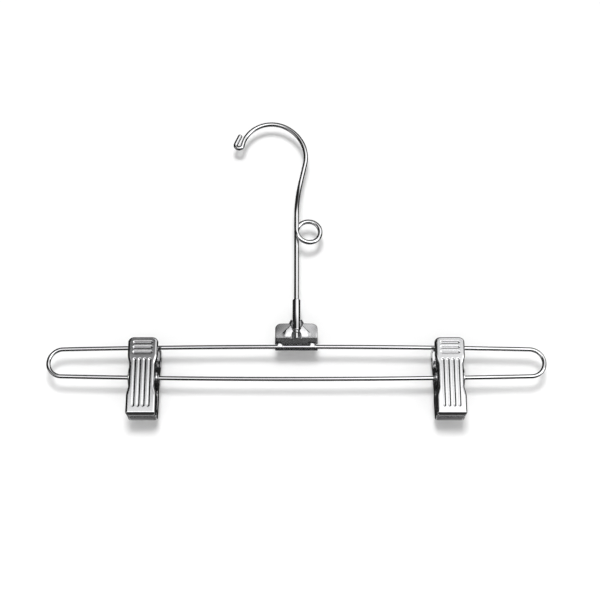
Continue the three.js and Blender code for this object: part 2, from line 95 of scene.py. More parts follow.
class Side(Enum):
    """The two halves of a clip, as the part's own names have them."""

    FRONT = "front"
    REAR = "rear"


class Measured(Enum):
    """What the depth of a point on a clip's rim is measured from."""

    FACE = "face"
    RIM = "rim"


def smooth_step(share: float) -> float:
    """Eases a share from 0 to 1, and holds it inside that range."""
    inside = min(max(share, 0.0), 1.0)
    return inside * inside * (3 - 2 * inside)


def shares(steps: int) -> list[float]:
    """The steps + 1 even shares from 0 to 1, both ends included."""
    return [index / steps for index in range(steps + 1)]


def around(sides: int) -> list[float]:
    """The even turns of a full circle, its end left out."""
    return [FULL_TURN * side / sides for side in range(sides)]


def rectangle(left: float, right: float, low: float, high: float) -> list[tuple[float, float]]:
    """The corners of a rectangle, anticlockwise from its lower left."""
    return [(left, low), (right, low), (right, high), (left, high)]


def shade(mesh: bpy.types.Mesh) -> None:
    """Shades a mesh smooth except at its sharp edges."""
    mesh.polygons.foreach_set("use_smooth", [True] * len(mesh.polygons))
    mesh.set_sharp_from_angle(angle=SHARP_ANGLE)


class Value:
    """A shader socket that can be written in plain arithmetic."""

    def __init__(self, graph: "Graph", socket: bpy.types.NodeSocket) -> None:
        """Keeps the graph that holds the socket, for the nodes that sums add."""
        self.graph = graph
        self.socket = socket

    def __add__(self, other: "Value | float") -> "Value":
        """The sum of both."""
        return self.graph.calculate("ADD", self, other)

    def __radd__(self, other: float) -> "Value":
        """The sum of both, with the number first."""
        return self.graph.calculate("ADD", other, self)

    def __sub__(self, other: "Value | float") -> "Value":
        """This value less the other."""
        return self.graph.calculate("SUBTRACT", self, other)

    def __rsub__(self, other: float) -> "Value":
        """The number less this value."""
        return self.graph.calculate("SUBTRACT", other, self)

    def __mul__(self, other: "Value | float") -> "Value":
        """The product of both."""
        return self.graph.calculate("MULTIPLY", self, other)

    def __rmul__(self, other: float) -> "Value":
        """The product of both, with the number first."""
        return self.graph.calculate("MULTIPLY", other, self)


class NodeBox:
    """A node just added to a graph, which hands out its results as values."""

    def __init__(self, graph: "Graph", made: bpy.types.Node) -> None:
        """Keeps the graph and the node."""
        self.graph = graph
        self.made = made

    def out(self, key: int | str) -> Value:
        """One result of the node, by its number or name."""
        return Value(self.graph, self.made.outputs[key])


class Graph:
    """The node tree of one material or of the world."""

    def __init__(self, tree: bpy.types.NodeTree) -> None:
        """Empties the tree, so that it holds only what is added here."""
        self.tree = tree
        tree.nodes.clear()

    def node(
        self,
        kind: str,
        settings: dict[str, object] | None = None,
        sockets: dict[int | str, object] | None = None,
    ) -> NodeBox:
        """Adds one node.

        Args:
            kind: the node's type.
            settings: its own properties, which are set first.
            sockets: a value or a link for each named or numbered socket.

        Returns:
            The node, ready to hand out its results.
        """
        made = self.tree.nodes.new(kind)
        for name, setting in (settings or {}).items():
            setattr(made, name, setting)
        for key, given in (sockets or {}).items():
            if isinstance(given, Value):
                self.tree.links.new(given.socket, made.inputs[key])
            else:
                made.inputs[key].default_value = given
        return NodeBox(self, made)

    def calculate(self, operation: str, *terms: Value | float) -> Value:
        """The result of a Math node on the terms, in their order."""
        return self.node("ShaderNodeMath", {"operation": operation}, dict(enumerate(terms))).out(0)

    def vector(self, operation: str, *terms: Value | tuple[float, float, float]) -> NodeBox:
        """A Vector Math node on the terms, in their order."""
        return self.node("ShaderNodeVectorMath", {"operation": operation}, dict(enumerate(terms)))

    def noise(self, place: Value, scale: float, detail: float) -> Value:
        """Noise over the surface, between 0 and 1."""
        return self.node("ShaderNodeTexNoise", {}, {"Vector": place, "Scale": scale, "Detail": detail}).out(0)

    def spread(self, value: Value, low: float, high: float) -> Value:
        """Maps a share between 0 and 1 to the range from low to high."""
        return value * (high - low) + low


def new_material(name: str) -> tuple[bpy.types.Material, Graph]:
    """Starts a material.

    Args:
        name: the material's name.

    Returns:
        The material and its graph, still empty.
    """
    made = bpy.data.materials.new(name)
    made.use_nodes = True
    return made, Graph(made.node_tree)


@dataclass(frozen=True)
class MetalFinish:
    """A plated or polished metal, with fine marks and slow changes of sheen.

    Attributes:
        name: the material's name.
        colour: its mean reflected colour.
        tone_change: how far the colour drifts, as a share of it.
        roughness: its lowest and highest roughness.
        cloud_scale: the scale of the slow changes, in waves per metre.
        grain_scale: the scale of the fine marks, in waves per metre.
        grain_stretch: how the fine marks are stretched along each axis.
        grain_height: the height of the fine marks.
        cloud_detail: how fine the detail in the slow changes is.
        grain_detail: how fine the detail in the fine marks is.
        grain_share: the share of the fine marks in the roughness.
    """

    name: str
    colour: tuple[float, float, float]
    tone_change: float
    roughness: tuple[float, float]
    cloud_scale: float
    grain_scale: float
    grain_stretch: tuple[float, float, float]
    grain_height: float
    cloud_detail: float = 4.0
    grain_detail: float = 5.0
    grain_share: float = 0.5

    def material(self) -> bpy.types.Material:
        """Builds the material.

        Returns:
            The finished material.
        """
        made, graph = new_material(self.name)
        place = graph.node("ShaderNodeTexCoord").out("Object")
        clouds = graph.noise(place, self.cloud_scale, self.cloud_detail)
        stretched = graph.vector("MULTIPLY", place, self.grain_stretch).out(0)
        grain = graph.noise(stretched, self.grain_scale, self.grain_detail)
        pale = tuple(channel * (1 + self.tone_change) for channel in self.colour)
        deep = tuple(channel * (1 - self.tone_change) for channel in self.colour)
        # A Mix node has its two colours in its sockets 6 and 7, and the mixed colour in its result 2.
        colour = graph.node(
            "ShaderNodeMix",
            {"data_type": "RGBA"},
            {0: clouds, 6: (*deep, 1.0), 7: (*pale, 1.0)},
        ).out(2)
        marks = clouds * (1 - self.grain_share) + grain * self.grain_share
        sheen = graph.spread(marks, *self.roughness)
        relief = graph.node(
            "ShaderNodeBump", {}, {"Strength": 1.0, "Distance": self.grain_height, "Height": grain}
        ).out(0)
        shader = graph.node(
            "ShaderNodeBsdfPrincipled",
            {},
            {"Base Color": colour, "Metallic": 1.0, "Roughness": sheen, "Normal": relief},
        ).out(0)
        graph.node("ShaderNodeOutputMaterial", {}, {"Surface": shader})
        return made


POLISHED_WIRE = MetalFinish(
    name="polished_chrome_wire",
    colour=(0.80, 0.80, 0.81),
    tone_change=0.04,
    roughness=(0.03, 0.08),
    cloud_scale=60.0,
    grain_scale=900.0,
    grain_stretch=(1.0, 1.0, 1.0),
    grain_height=0.0000012,
)
SATIN_BRACKET = MetalFinish(
    name="satin_bracket_sheet",
    colour=(0.58, 0.58, 0.59),
    tone_change=0.07,
    roughness=(0.20, 0.28),
    cloud_scale=90.0,
    grain_scale=700.0,
    grain_stretch=(0.25, 1.0, 1.6),
    grain_height=0.0000016,
)
NICKEL_SHEET = MetalFinish(
    name="nickel_clip_sheet",
    colour=(0.66, 0.66, 0.67),
    tone_change=0.06,
    roughness=(0.10, 0.15),
    cloud_scale=80.0,
    grain_scale=800.0,
    grain_stretch=(1.4, 1.0, 0.3),
    grain_height=0.0000012,
)
SPRING_STEEL = MetalFinish(
    name="dark_spring_steel",
    colour=(0.36, 0.36, 0.37),
    tone_change=0.10,
    roughness=(0.22, 0.34),
    cloud_scale=200.0,
    grain_scale=1500.0,
    grain_stretch=(1.0, 1.0, 1.0),
    grain_height=0.000006,
)


class MeshDraft:
    """Points and faces of a piece while it is being built."""

    def __init__(self) -> None:
        """Starts with nothing."""
        self.points: list[Vector] = []
        self.faces: list[tuple[int, ...]] = []

    def add_row(self, row: Iterable[Vector]) -> list[int]:
        """Adds a row of points.

        Args:
            row: the points.

        Returns:
            The numbers that the points have in this draft.
        """
        first = len(self.points)
        self.points.extend(row)
        return list(range(first, len(self.points)))

    def strip(self, lower: Sequence[int], upper: Sequence[int], closed: bool) -> None:
        """Joins two rows of as many points with a strip of quads.

        Args:
            lower: the first row.
            upper: the second row.
            closed: whether the strip runs round to its start.
        """
        count = len(lower)
        for index in range(count if closed else count - 1):
            after = (index + 1) % count
            self.faces.append((lower[index], lower[after], upper[after], upper[index]))

    def cap(self, ring: Sequence[int], facing_back: bool) -> None:
        """Closes a ring with one face."""
        self.faces.append(tuple(reversed(ring)) if facing_back else tuple(ring))

    def placed(self, matrix: Matrix) -> "MeshDraft":
        """Moves every point by a matrix, and returns this draft."""
        self.points = [matrix @ point for point in self.points]
        return self

    def object(self, name: str) -> bpy.types.Object:
        """Makes the piece, shaded smooth except at its sharp edges.

        Args:
            name: the piece's name.

        Returns:
            The piece, linked to the scene.
        """
        mesh = bpy.data.meshes.new(name)
        mesh.from_pydata([tuple(point) for point in self.points], [], self.faces)
        mesh.validate()
        mesh.update()
        shade(mesh)
        made = bpy.data.objects.new(name, mesh)
        bpy.context.scene.collection.objects.link(made)
        return made


def swept_wire(
    path: Sequence[Vector],
    radius: float,
    sides: int,
    widths: Callable[[float, float], float] | None = None,
) -> MeshDraft:
    """Sweeps a round section along a path, without twist.

    Args:
        path: the wire's centreline.
        radius: the wire's radius.
        sides: how many sides the section has.
        widths: the share of the radius at a distance from the start and one from the end.

    Returns:
        The closed tube.
    """
    draft = MeshDraft()
    lengths = [0.0]
    for before, after in zip(path, path[1:]):
        lengths.append(lengths[-1] + (after - before).length)
    tangents = [
        (path[min(index + 1, len(path) - 1)] - path[max(index - 1, 0)]).normalized()
        for index in range(len(path))
    ]
    across = tangents[0].orthogonal().normalized()
    rings = []
    for point, tangent, length in zip(path, tangents, lengths):
        across = (across - tangent * across.dot(tangent)).normalized()
        along = tangent.cross(across)
        reach = radius * (widths(length, lengths[-1] - length) if widths else 1.0)
        ring = [
            point + reach * (math.cos(turn) * across + math.sin(turn) * along)
            for turn in around(sides)
        ]
        rings.append(draft.add_row(ring))
    for lower, upper in zip(rings, rings[1:]):
        draft.strip(lower, upper, closed=True)
    draft.cap(rings[0], facing_back=True)
    draft.cap(rings[-1], facing_back=False)
    return draft


def rounded_corners(
    corners: Sequence[tuple[float, float, float]], steps: int = 4
) -> list[tuple[float, float]]:
    """Rounds the corners of a closed profile.

    Args:
        corners: the place of each corner and the radius that it is rounded to.
        steps: how many steps each round has.

    Returns:
        The profile's points.
    """
    points: list[tuple[float, float]] = []
    count = len(corners)
    for index, (across, along, radius) in enumerate(corners):
        corner = Vector((across, along))
        if radius == 0:
            points.append(tuple(corner))
            continue
        back = (Vector(corners[index - 1][:2]) - corner).normalized()
        ahead = (Vector(corners[(index + 1) % count][:2]) - corner).normalized()
        half = back.angle(ahead) / 2
        reach = radius / math.tan(half)
        centre = corner + (back + ahead).normalized() * (radius / math.sin(half))
        start = corner + back * reach - centre
        end = corner + ahead * reach - centre
        sweep = start.angle_signed(end)
        for share in shares(steps):
            turn = -sweep * share
            points.append(
                (
                    centre.x + start.x * math.cos(turn) - start.y * math.sin(turn),
                    centre.y + start.x * math.sin(turn) + start.y * math.cos(turn),
                )
            )
    return points


def turned_ring(profile: Sequence[tuple[float, float]], sides: int) -> MeshDraft:
    """Turns a closed profile of radius and height round the Z axis.

    Args:
        profile: the radius and height of each point, in order round the section.
        sides: how many steps the full turn has.

    Returns:
        The closed ring.
    """
    draft = MeshDraft()
    rings = []
    for turn in around(sides):
        ring = [
            Vector((radius * math.cos(turn), radius * math.sin(turn), height))
            for radius, height in profile
        ]
        rings.append(draft.add_row(ring))
    for lower, upper in zip(rings, rings[1:] + rings[:1]):
        draft.strip(upper, lower, closed=True)
    return draft


def turned_solid(profile: Sequence[tuple[float, float]], sides: int) -> MeshDraft:
    """Turns an open profile of radius and height round the Z axis, and closes both ends.

    Args:
        profile: the radius and height of each point, from the foot up.
        sides: how many steps the full turn has.

    Returns:
        The closed solid.
    """
    draft = MeshDraft()
    rings = [
        draft.add_row(
            Vector((radius * math.cos(turn), radius * math.sin(turn), height)) for turn in around(sides)
        )
        for radius, height in profile
    ]
    for lower, upper in zip(rings, rings[1:]):
        draft.strip(lower, upper, closed=True)
    draft.cap(rings[0], facing_back=True)
    draft.cap(rings[-1], facing_back=False)
    return draft


def prism(outline: Sequence[tuple[float, float]], front: float, back: float) -> MeshDraft:
    """A straight solid along Y.

    Args:
        outline: its outline in X and Z, anticlockwise as seen from the front.
        front: the Y of its front.
        back: the Y of its back.

    Returns:
        The closed solid.
    """
    draft = MeshDraft()
    rings = [draft.add_row(Vector((x, y, z)) for x, z in outline) for y in (front, back)]
    draft.strip(rings[1], rings[0], closed=True)
    draft.cap(rings[0], facing_back=False)
    draft.cap(rings[1], facing_back=True)
    return draft


def widened(inner: Sequence[float], reach: float, width: float, steps: int) -> list[float]:
    """Adds even steps on both sides of a row's inner places.

    Args:
        inner: the inner places across, from left to right.
        reach: how far out they reach.
        width: how far out the whole row reaches.
        steps: how many steps there are between the two.

    Returns:
        All the places across, from left to right.
    """
    outer = [reach + (width - reach) * share for share in shares(steps)[1:]]
    return [-x for x in reversed(outer)] + [*inner] + outer


def edge_ring(
    edges: Sequence[Vector], columns: int, first_way: Vector, last_way: Vector
) -> list[tuple[int, int, Vector]]:
    """Goes round the edge of a grid whose two sides mirror each other.

    Args:
        edges: the outward direction at the right end of each row.
        columns: how many columns the grid has.
        first_way: the outward direction along the first row.
        last_way: the outward direction along the last row.

    Returns:
        The row, the column and the outward direction of each place of the edge, in order.
    """
    last_row, last = len(edges) - 1, columns - 1
    ring = [(0, column, first_way) for column in range(last)]
    ring += [(row, last, edges[row]) for row in range(last_row)]
    ring += [(last_row, column, last_way) for column in range(last, 0, -1)]
    ring += [(row, 0, Vector((-edges[row].x, *edges[row][1:]))) for row in range(last_row, 0, -1)]
    return ring


def closed_sheet(
    outer: Sequence[Sequence[Vector]],
    inner: Sequence[Sequence[Vector]],
    ring: Sequence[tuple[int, int, Vector]],
    rims: Sequence[Sequence[Vector]],
) -> MeshDraft:
    """Joins the two faces of a sheet round its rim.

    Args:
        outer: the rows of the outer face.
        inner: the rows of the inner face, as many and as long.
        ring: the row, the column and the outward direction of each place of the edge, in order.
        rims: the rim's own rows, from the outer face to the inner one, as long as the ring.

    Returns:
        The closed sheet.
    """
    made = MeshDraft()
    outer_rows = [made.add_row(row) for row in outer]
    inner_rows = [made.add_row(row) for row in inner]
    for lower, upper in zip(outer_rows, outer_rows[1:]):
        made.strip(lower, upper, closed=False)
    for lower, upper in zip(inner_rows, inner_rows[1:]):
        made.strip(upper, lower, closed=False)
    rings = [
        [outer_rows[row][column] for row, column, _ in ring],
        *(made.add_row(rim) for rim in rims),
        [inner_rows[row][column] for row, column, _ in ring],
    ]
    for before, after in zip(rings, rings[1:]):
        made.strip(after, before, closed=True)
    return made


@dataclass(frozen=True)
class Run:
    """One stretch of a wire bent in the XZ plane.

    Attributes:
        length: the length of a straight stretch.
        radius: the radius of an arc.
        turn: the arc's turn, positive to the left.
        depth: the Y of the wire at a share of the stretch.
    """

    length: float = 0.0
    radius: float = 0.0
    turn: float = 0.0
    depth: Callable[[float], float] = lambda share: 0.0

    def span(self) -> float:
        """The stretch's own length."""
        return self.length or self.radius * abs(self.turn)

    def at(self, start: Vector, heading: float, share: float) -> Vector:
        """A point of the stretch.

        Args:
            start: where the stretch starts.
            heading: its direction there.
            share: how far along the point lies.

        Returns:
            The point.
        """
        if self.turn:
            side = math.copysign(1.0, self.turn)
            swept = heading + self.turn * share
            x = start.x + side * self.radius * (math.sin(swept) - math.sin(heading))
            z = start.z - side * self.radius * (math.cos(swept) - math.cos(heading))
        else:
            x = start.x + self.length * share * math.cos(heading)
            z = start.z + self.length * share * math.sin(heading)
        return Vector((x, self.depth(share), z))


def bent_path(start: Vector, heading: float, runs: Sequence[Run], step: float) -> list[Vector]:
    """The points of a bent wire's centreline.

    Args:
        start: the first point.
        heading: the direction there.
        runs: the stretches, in order.
        step: about how far apart the points are.

    Returns:
        The points.
    """
    points = [Vector((start.x, runs[0].depth(0.0), start.z))]
    for run in runs:
        origin = points[-1]
        count = max(round(run.span() / step), 1)
        points += [run.at(origin, heading, share) for share in shares(count)[1:]]
        heading += run.turn
    return points


def dress(piece: bpy.types.Object, finish: bpy.types.Material) -> bpy.types.Object:
    """Gives a piece its finish.

    Args:
        piece: the piece.
        finish: its material.

    Returns:
        The same piece.
    """
    piece.data.materials.clear()
    piece.data.materials.append(finish)
    return piece


@dataclass
class Hook:
    """The bent wire hook, from its curled tip over the crown to the stem's upset bead."""

    finish: bpy.types.Material
    wire: float = HOOK_WIRE
    crown_radius: float = 22.7 * MM
    crown_turn_to_neck: float = math.radians(29.5)
    crown_turn_to_tip: float = math.radians(80.5)
    back_radius: float = 30.1 * MM
    neck_lean: float = math.radians(12)
    neck_straight: float = 14.5 * MM
    neck_radius: float = 154 * MM
    curl_radius: float = 2.6 * MM
    curl_turn: float = math.radians(194)
    curl_leg: float = 8.8 * MM
    ring_approach: float = 11.2 * MM
    ring_radius: float = 8.85 * MM
    strand_gap: float = 0.6 * MM
    ring_shift_share: float = 0.45
    bead_width: float = 4.8 * MM
    bead_height: float = 1.7 * MM
    bead_foot_ease: float = 0.3 * MM
    bead_top_ease: float = 0.05 * MM
    bead_rise: float = 0.8 * MM
    bead_fall: float = 0.3 * MM
    stem_tail: float = 4.2 * MM
    foot_bevel: float = 0.25 * MM
    foot_share: float = 0.86
    tip_round: float = 1.2 * MM
    tip_least: float = 0.08
    step: float = 0.6 * MM
    fine_parts: int = 8
    sides: int = 28

    def path(self) -> list[Vector]:
        """Bends the centreline. The tip is found by going back to it from the crown.

        Returns:
            The centreline from the tip to the stem's end.
        """
        shift = self.wire + self.strand_gap
        tip_leg = Run(length=self.curl_leg)
        curl = Run(radius=self.curl_radius, turn=self.curl_turn)
        crown_start = Vector((0.0, 0.0, self.wire / 2))
        outward = [
            Run(radius=self.crown_radius, turn=self.crown_turn_to_tip),
            Run(radius=self.curl_radius, turn=-self.curl_turn),
            tip_leg,
        ]
        tip = bent_path(crown_start, math.pi, outward, self.step)[-1]
        heading = self.crown_turn_to_tip - self.curl_turn
        stem_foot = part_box("hook_wire")[0].z
        to_ring = [
            tip_leg,
            curl,
            Run(radius=self.crown_radius, turn=-self.crown_turn_to_tip - self.crown_turn_to_neck),
            Run(
                radius=self.back_radius,
                turn=-(RIGHT_ANGLE + self.neck_lean - self.crown_turn_to_neck),
            ),
            Run(length=self.neck_straight),
            Run(
                radius=self.neck_radius,
                turn=self.neck_lean,
                depth=lambda share: -shift * smooth_step(share),
            ),
            Run(length=self.ring_approach, depth=lambda share: -shift),
            Run(
                radius=self.ring_radius,
                turn=FULL_TURN,
                depth=lambda share: -shift * (1 - smooth_step(share / self.ring_shift_share)),
            ),
        ]
        ring_end = bent_path(tip, heading, to_ring, self.step)
        stem = Run(length=ring_end[-1].z - stem_foot)
        return bent_path(tip, heading, [*to_ring, stem], self.step)

    def widths(self, from_tip: float, from_foot: float) -> float:
        """The share of the wire's radius at a place: rounded tip, upset bead and cut foot.

        Args:
            from_tip: the distance from the tip.
            from_foot: the distance from the stem's foot.

        Returns:
            The share.
        """
        if from_tip < self.tip_round:
            inward = 1 - from_tip / self.tip_round
            return max(math.sqrt(1 - inward * inward), self.tip_least)
        bead_start = self.stem_tail - self.bead_foot_ease
        bead_end = self.stem_tail + self.bead_height + self.bead_top_ease
        if bead_start < from_foot < bead_end:
            rise = smooth_step((from_foot - bead_start) / self.bead_rise)
            fall = smooth_step((bead_end - from_foot) / self.bead_fall)
            return 1 + (self.bead_width / self.wire - 1) * min(rise, fall)
        if from_foot < self.foot_bevel:
            return self.foot_share + (1 - self.foot_share) * from_foot / self.foot_bevel
        return 1.0

    def refined(self, path: list[Vector]) -> list[Vector]:
        """Adds points near both ends, where the width changes quickly.

        Args:
            path: the evenly stepped centreline.

        Returns:
            The centreline with finer steps over the tip and the bead.
        """
        fine: list[Vector] = []
        near_tip = round(self.tip_round / self.step) + 1
        near_foot = len(path) - round((self.stem_tail + 2 * self.bead_height) / self.step)
        for index, (before, after) in enumerate(zip(path, path[1:])):
            parts = self.fine_parts if index < near_tip or index > near_foot else 1
            fine += [before.lerp(after, share) for share in shares(parts)[:-1]]
        return [*fine, path[-1]]

    def build(self) -> None:
        """Makes the hook and lets it ride on its body."""
        draft = swept_wire(self.refined(self.path()), self.wire / 2, self.sides, self.widths)
        piece = draft.object("bent_hook_wire")
        dress(piece, self.finish)
        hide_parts("hook_wire")
        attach(piece, "hook")
        log.info("hook: one wire of %d points", len(piece.data.vertices))


@dataclass
class Sleeve:
    """The turned sleeve that the hook's stem swivels in."""

    finish: bpy.types.Material
    wire: float = HOOK_WIRE
    clearance: float = RUNNING_GAP
    outer_round: float = 0.45 * MM
    bore_round: float = 0.2 * MM
    sides: int = 64

    def build(self) -> None:
        """Makes the sleeve where its node is and lets it ride on the frame."""
        low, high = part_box("swivel_sleeve")
        outer = (high.x - low.x) / 2
        bore = self.wire / 2 + self.clearance
        profile = rounded_corners(
            [
                (bore, low.z, self.bore_round),
                (outer, low.z, self.outer_round),
                (outer, high.z, self.outer_round),
                (bore, high.z, self.bore_round),
            ]
        )
        centre = Vector(((low.x + high.x) / 2, (low.y + high.y) / 2, 0.0))
        piece = turned_ring(profile, self.sides).placed(Matrix.Translation(centre)).object("turned_sleeve")
        dress(piece, self.finish)
        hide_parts("swivel_sleeve")
        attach(piece, "frame")
        log.info("sleeve: made")


@dataclass
class FrameLoop:
    """The barrel-shaped loop of wire, with its ends butted under the bracket's right finger."""

    finish: bpy.types.Material
    wire: float = 3 * MM
    gap: float = 24.1 * MM
    end_radius: float = 10.1 * MM
    butt_gap: float = 0.3 * MM
    butt_offset: float = 11.55 * MM
    step: float = 1.2 * MM
    end_chamfer: float = 0.25 * MM
    end_share: float = 0.85
    sides: int = 28

    def widths(self, from_start: float, from_end: float) -> float:
        """The share of the wire's radius, chamfered at both cut ends."""
        nearest = min(from_start, from_end)
        return min(self.end_share + (1 - self.end_share) * nearest / self.end_chamfer, 1.0)

    def path(self) -> list[Vector]:
        """Bends the loop, whose long runs bow and whose ends are round.

        Returns:
            The centreline, from one side of the butt joint round to the other.
        """
        low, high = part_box("frame_wire")
        middle = Vector(((low.x + high.x) / 2, 0.0, (low.z + high.z) / 2))
        half_length = (high.x - low.x) / 2
        end_x = half_length - self.wire / 2 - self.end_radius
        spare = self.gap / 2 - self.end_radius
        bow_radius = (end_x**2 / spare + self.gap / 2 + self.end_radius) / 2
        bow_turn = math.asin(end_x / (bow_radius - self.end_radius))
        start_turn = math.asin((self.butt_offset + self.butt_gap / 2) / bow_radius)
        end_turn = math.asin((self.butt_offset - self.butt_gap / 2) / bow_radius)
        top = middle.z + self.gap / 2
        start = Vector(
            (
                middle.x + bow_radius * math.sin(start_turn),
                0.0,
                top - bow_radius * (1 - math.cos(start_turn)),
            )
        )
        bend = Run(radius=self.end_radius, turn=2 * bow_turn - math.pi)
        runs = [
            Run(radius=bow_radius, turn=start_turn - bow_turn),
            bend,
            Run(radius=bow_radius, turn=-2 * bow_turn),
            bend,
            Run(radius=bow_radius, turn=-bow_turn - end_turn),
        ]
        path = bent_path(start, -start_turn, runs, self.step)
        first = path[0].lerp(path[1], self.end_chamfer / self.step)
        last = path[-1].lerp(path[-2], self.end_chamfer / self.step)
        return [path[0], first, *path[1:-1], last, path[-1]]

    def build(self) -> None:
        """Makes the loop and lets it ride on the frame."""
        piece = swept_wire(self.path(), self.wire / 2, self.sides, self.widths).object("looped_frame_wire")
        dress(piece, self.finish)
        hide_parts("frame_wire")
        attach(piece, "frame")
        log.info("frame: one loop of %d points", len(piece.data.vertices))


@dataclass(frozen=True)
class Groove:
    """A round-ended groove in a clip's face: its centre, its length and its direction."""

    x: float
    z: float
    length: float
    across: bool

    def distance(self, x: float, z: float, half_width: float) -> float:
        """How far a point of the face lies outside the groove's edge.

        Args:
            x: the point's place across.
            z: its height.
            half_width: half the groove's width.

        Returns:
            The distance, negative inside the groove.
        """
        run = self.length / 2 - half_width
        along, aside = (x - self.x, z - self.z) if self.across else (z - self.z, x - self.x)
        beyond = max(abs(along) - run, 0.0)
        return math.hypot(beyond, aside) - half_width


@dataclass
class ClipHalf:
    """One pressed half of a clip: a shallow pan with a rim, ears, a lip and grooves.

    It is drawn with its face towards -Y and its pivot at the origin, before it leans.
    """

    waist_step: float
    sheet: float = 0.7 * MM
    half_width: float = 10.5 * MM
    depth: float = 11.4 * MM
    top: float = 27 * MM
    foot: float = -28.4 * MM
    lean: float = math.radians(5.6)
    top_corner: float = 3.5 * MM
    face_corner: float = 0.2 * MM
    edge_bend: float = 1.1 * MM
    side_bend: float = 1.7 * MM
    foot_bend: float = 2.4 * MM
    waist_reach: float = 7.8 * MM
    waist_blend: float = 6.8 * MM
    handle_flange: float = 3.2 * MM
    handle_shoulder: float = 11.6 * MM
    ear_radius: float = 7.5 * MM
    ear_shoulder: float = 9.4 * MM
    ear_shoulder_inset: float = 5.6 * MM
    jaw_shoulder: float = 9.1 * MM
    jaw_shoulder_inset: float = 3.1 * MM
    jaw_side_gap: float = 1.2 * MM
    lip_height: float = 3.8 * MM
    lip_blend: float = 2 * MM
    mouth_gap: float = 0.4 * MM
    running_gap: float = RUNNING_GAP
    groove_width: float = 2.1 * MM
    groove_depth: float = 0.34 * MM
    groove_pitch: float = 3.55 * MM
    groove_slope: float = 1.15 * MM
    cross_groove_count: int = 3
    cross_groove_length: float = 13.5 * MM
    cross_groove_from_top: float = 3.8 * MM
    long_groove_count: int = 4
    long_groove_top: float = 11.8 * MM
    long_groove_foot: float = 22.6 * MM
    groove_edge: float = 0.2
    groove_end_share: float = 0.985
    groove_lines: tuple[float, ...] = (0.0, 0.14, 0.28, 0.42, 0.56, 0.7, 0.84, 0.98, 1.1, 1.22)
    straight_reach: float = 6.9 * MM
    edge_round: float = 0.12 * MM
    edge_middle: float = 0.3
    pivot_hole: float = 2.9 * MM
    row_step: float = 0.9 * MM
    row_clear: float = 0.35 * MM
    row_least: float = 0.005 * MM
    slope_reach: float = 0.05 * MM
    side_columns: int = 3
    corner_steps: int = 8
    ear_steps: int = 32
    bend_steps: int = 6
    grooves: list[Groove] = field(init=False)
    face_foot: float = field(init=False)
    face_top: float = field(init=False)
    face_top_corner: float = field(init=False)

    def __post_init__(self) -> None:
        """Finds the flat face's ends, and lays out its grooves: short ones across, long ones down."""
        self.face_foot = self.foot + self.foot_bend
        self.face_top = self.top - self.edge_bend
        self.face_top_corner = self.top_corner - self.edge_bend
        across = [
            Groove(
                x=0.0,
                z=self.top - self.cross_groove_from_top - index * self.groove_pitch,
                length=self.cross_groove_length,
                across=True,
            )
            for index in range(self.cross_groove_count)
        ]
        middle = (self.long_groove_count - 1) / 2
        centre = (self.long_groove_top - self.long_groove_foot) / 2
        length = self.long_groove_top + self.long_groove_foot
        along = [
            Groove(x=(index - middle) * self.groove_pitch, z=centre, length=length, across=False)
            for index in range(self.long_groove_count)
        ]
        self.grooves = [*across, *along]

    def outer_width(self, z: float) -> float:
        """The half width of the clip at a height, drawn in at its waist."""
        share = (abs(z) - self.waist_reach) / self.waist_blend
        return self.half_width - self.waist_step * (1 - smooth_step(share))

    def rim_depth(self, z: float) -> float:
        """How far back the rim reaches at a height: lip, jaw flange, ear or handle flange.

        Args:
            z: the height.

        Returns:
            The Y of the rim's edge.
        """
        lip_top = self.foot + self.lip_height
        mouth = math.tan(self.lean)
        jaw_foot = -self.jaw_shoulder - self.lip_blend
        profile = [
            (self.foot, self.foot * mouth - self.mouth_gap / 2),
            (lip_top, lip_top * mouth - self.mouth_gap / 2),
            (lip_top + self.lip_blend, lip_top * mouth - self.jaw_side_gap),
            (jaw_foot, -self.jaw_shoulder * mouth - self.jaw_side_gap - self.running_gap),
            (-self.jaw_shoulder, -self.jaw_shoulder_inset),
            *self.ear_points(),
            (self.ear_shoulder, -self.ear_shoulder_inset),
            (self.handle_shoulder, self.handle_flange - self.depth),
            (self.top, self.handle_flange - self.depth),
        ]
        for (low, near), (high, far) in zip(profile, profile[1:]):
            if z <= high:
                share = max((z - low) / (high - low), 0.0)
                return near + (far - near) * share
        return profile[-1][1]

    def ear_points(self) -> list[tuple[float, float]]:
        """The round of the ear between the points where it leaves the two shoulders.

        Returns:
            The height and the depth of each point.
        """
        foot = Vector((-self.jaw_shoulder_inset, -self.jaw_shoulder))
        top = Vector((-self.ear_shoulder_inset, self.ear_shoulder))
        start = math.atan2(foot.y, foot.x) + math.acos(self.ear_radius / foot.length)
        end = math.atan2(top.y, top.x) - math.acos(self.ear_radius / top.length)
        turns = [start + (end - start) * share for share in shares(self.ear_steps)]
        return [(self.ear_radius * math.sin(turn), self.ear_radius * math.cos(turn)) for turn in turns]

    def press(self, x: float, z: float, spread: float) -> float:
        """How deep the face is pressed at a point.

        Args:
            x: the point's place across.
            z: its height.
            spread: how much wider than the groove the form is.

        Returns:
            The depth, towards the back.
        """
        half = self.groove_width / 2
        nearest = min(groove.distance(x, z, half) for groove in self.grooves) - spread
        return self.groove_depth * smooth_step(self.groove_edge - nearest / self.groove_slope)

    def column_places(self) -> list[float]:
        """Lays out the straight grid lines across the face, close together over the grooves' walls.

        Returns:
            Their places across, from left to right.
        """
        half = self.groove_width / 2
        places = {
            round(groove.x + side * offset * half, 7)
            for groove in self.grooves
            if not groove.across
            for offset in self.groove_lines
            for side in (-1, 1)
        }
        ends = {self.cross_groove_length / 2 * share for share in (1.0, self.groove_end_share)}
        places |= {side * end for end in (*ends, self.straight_reach) for side in (-1, 1)}
        return sorted(place for place in places if abs(place) <= self.straight_reach)

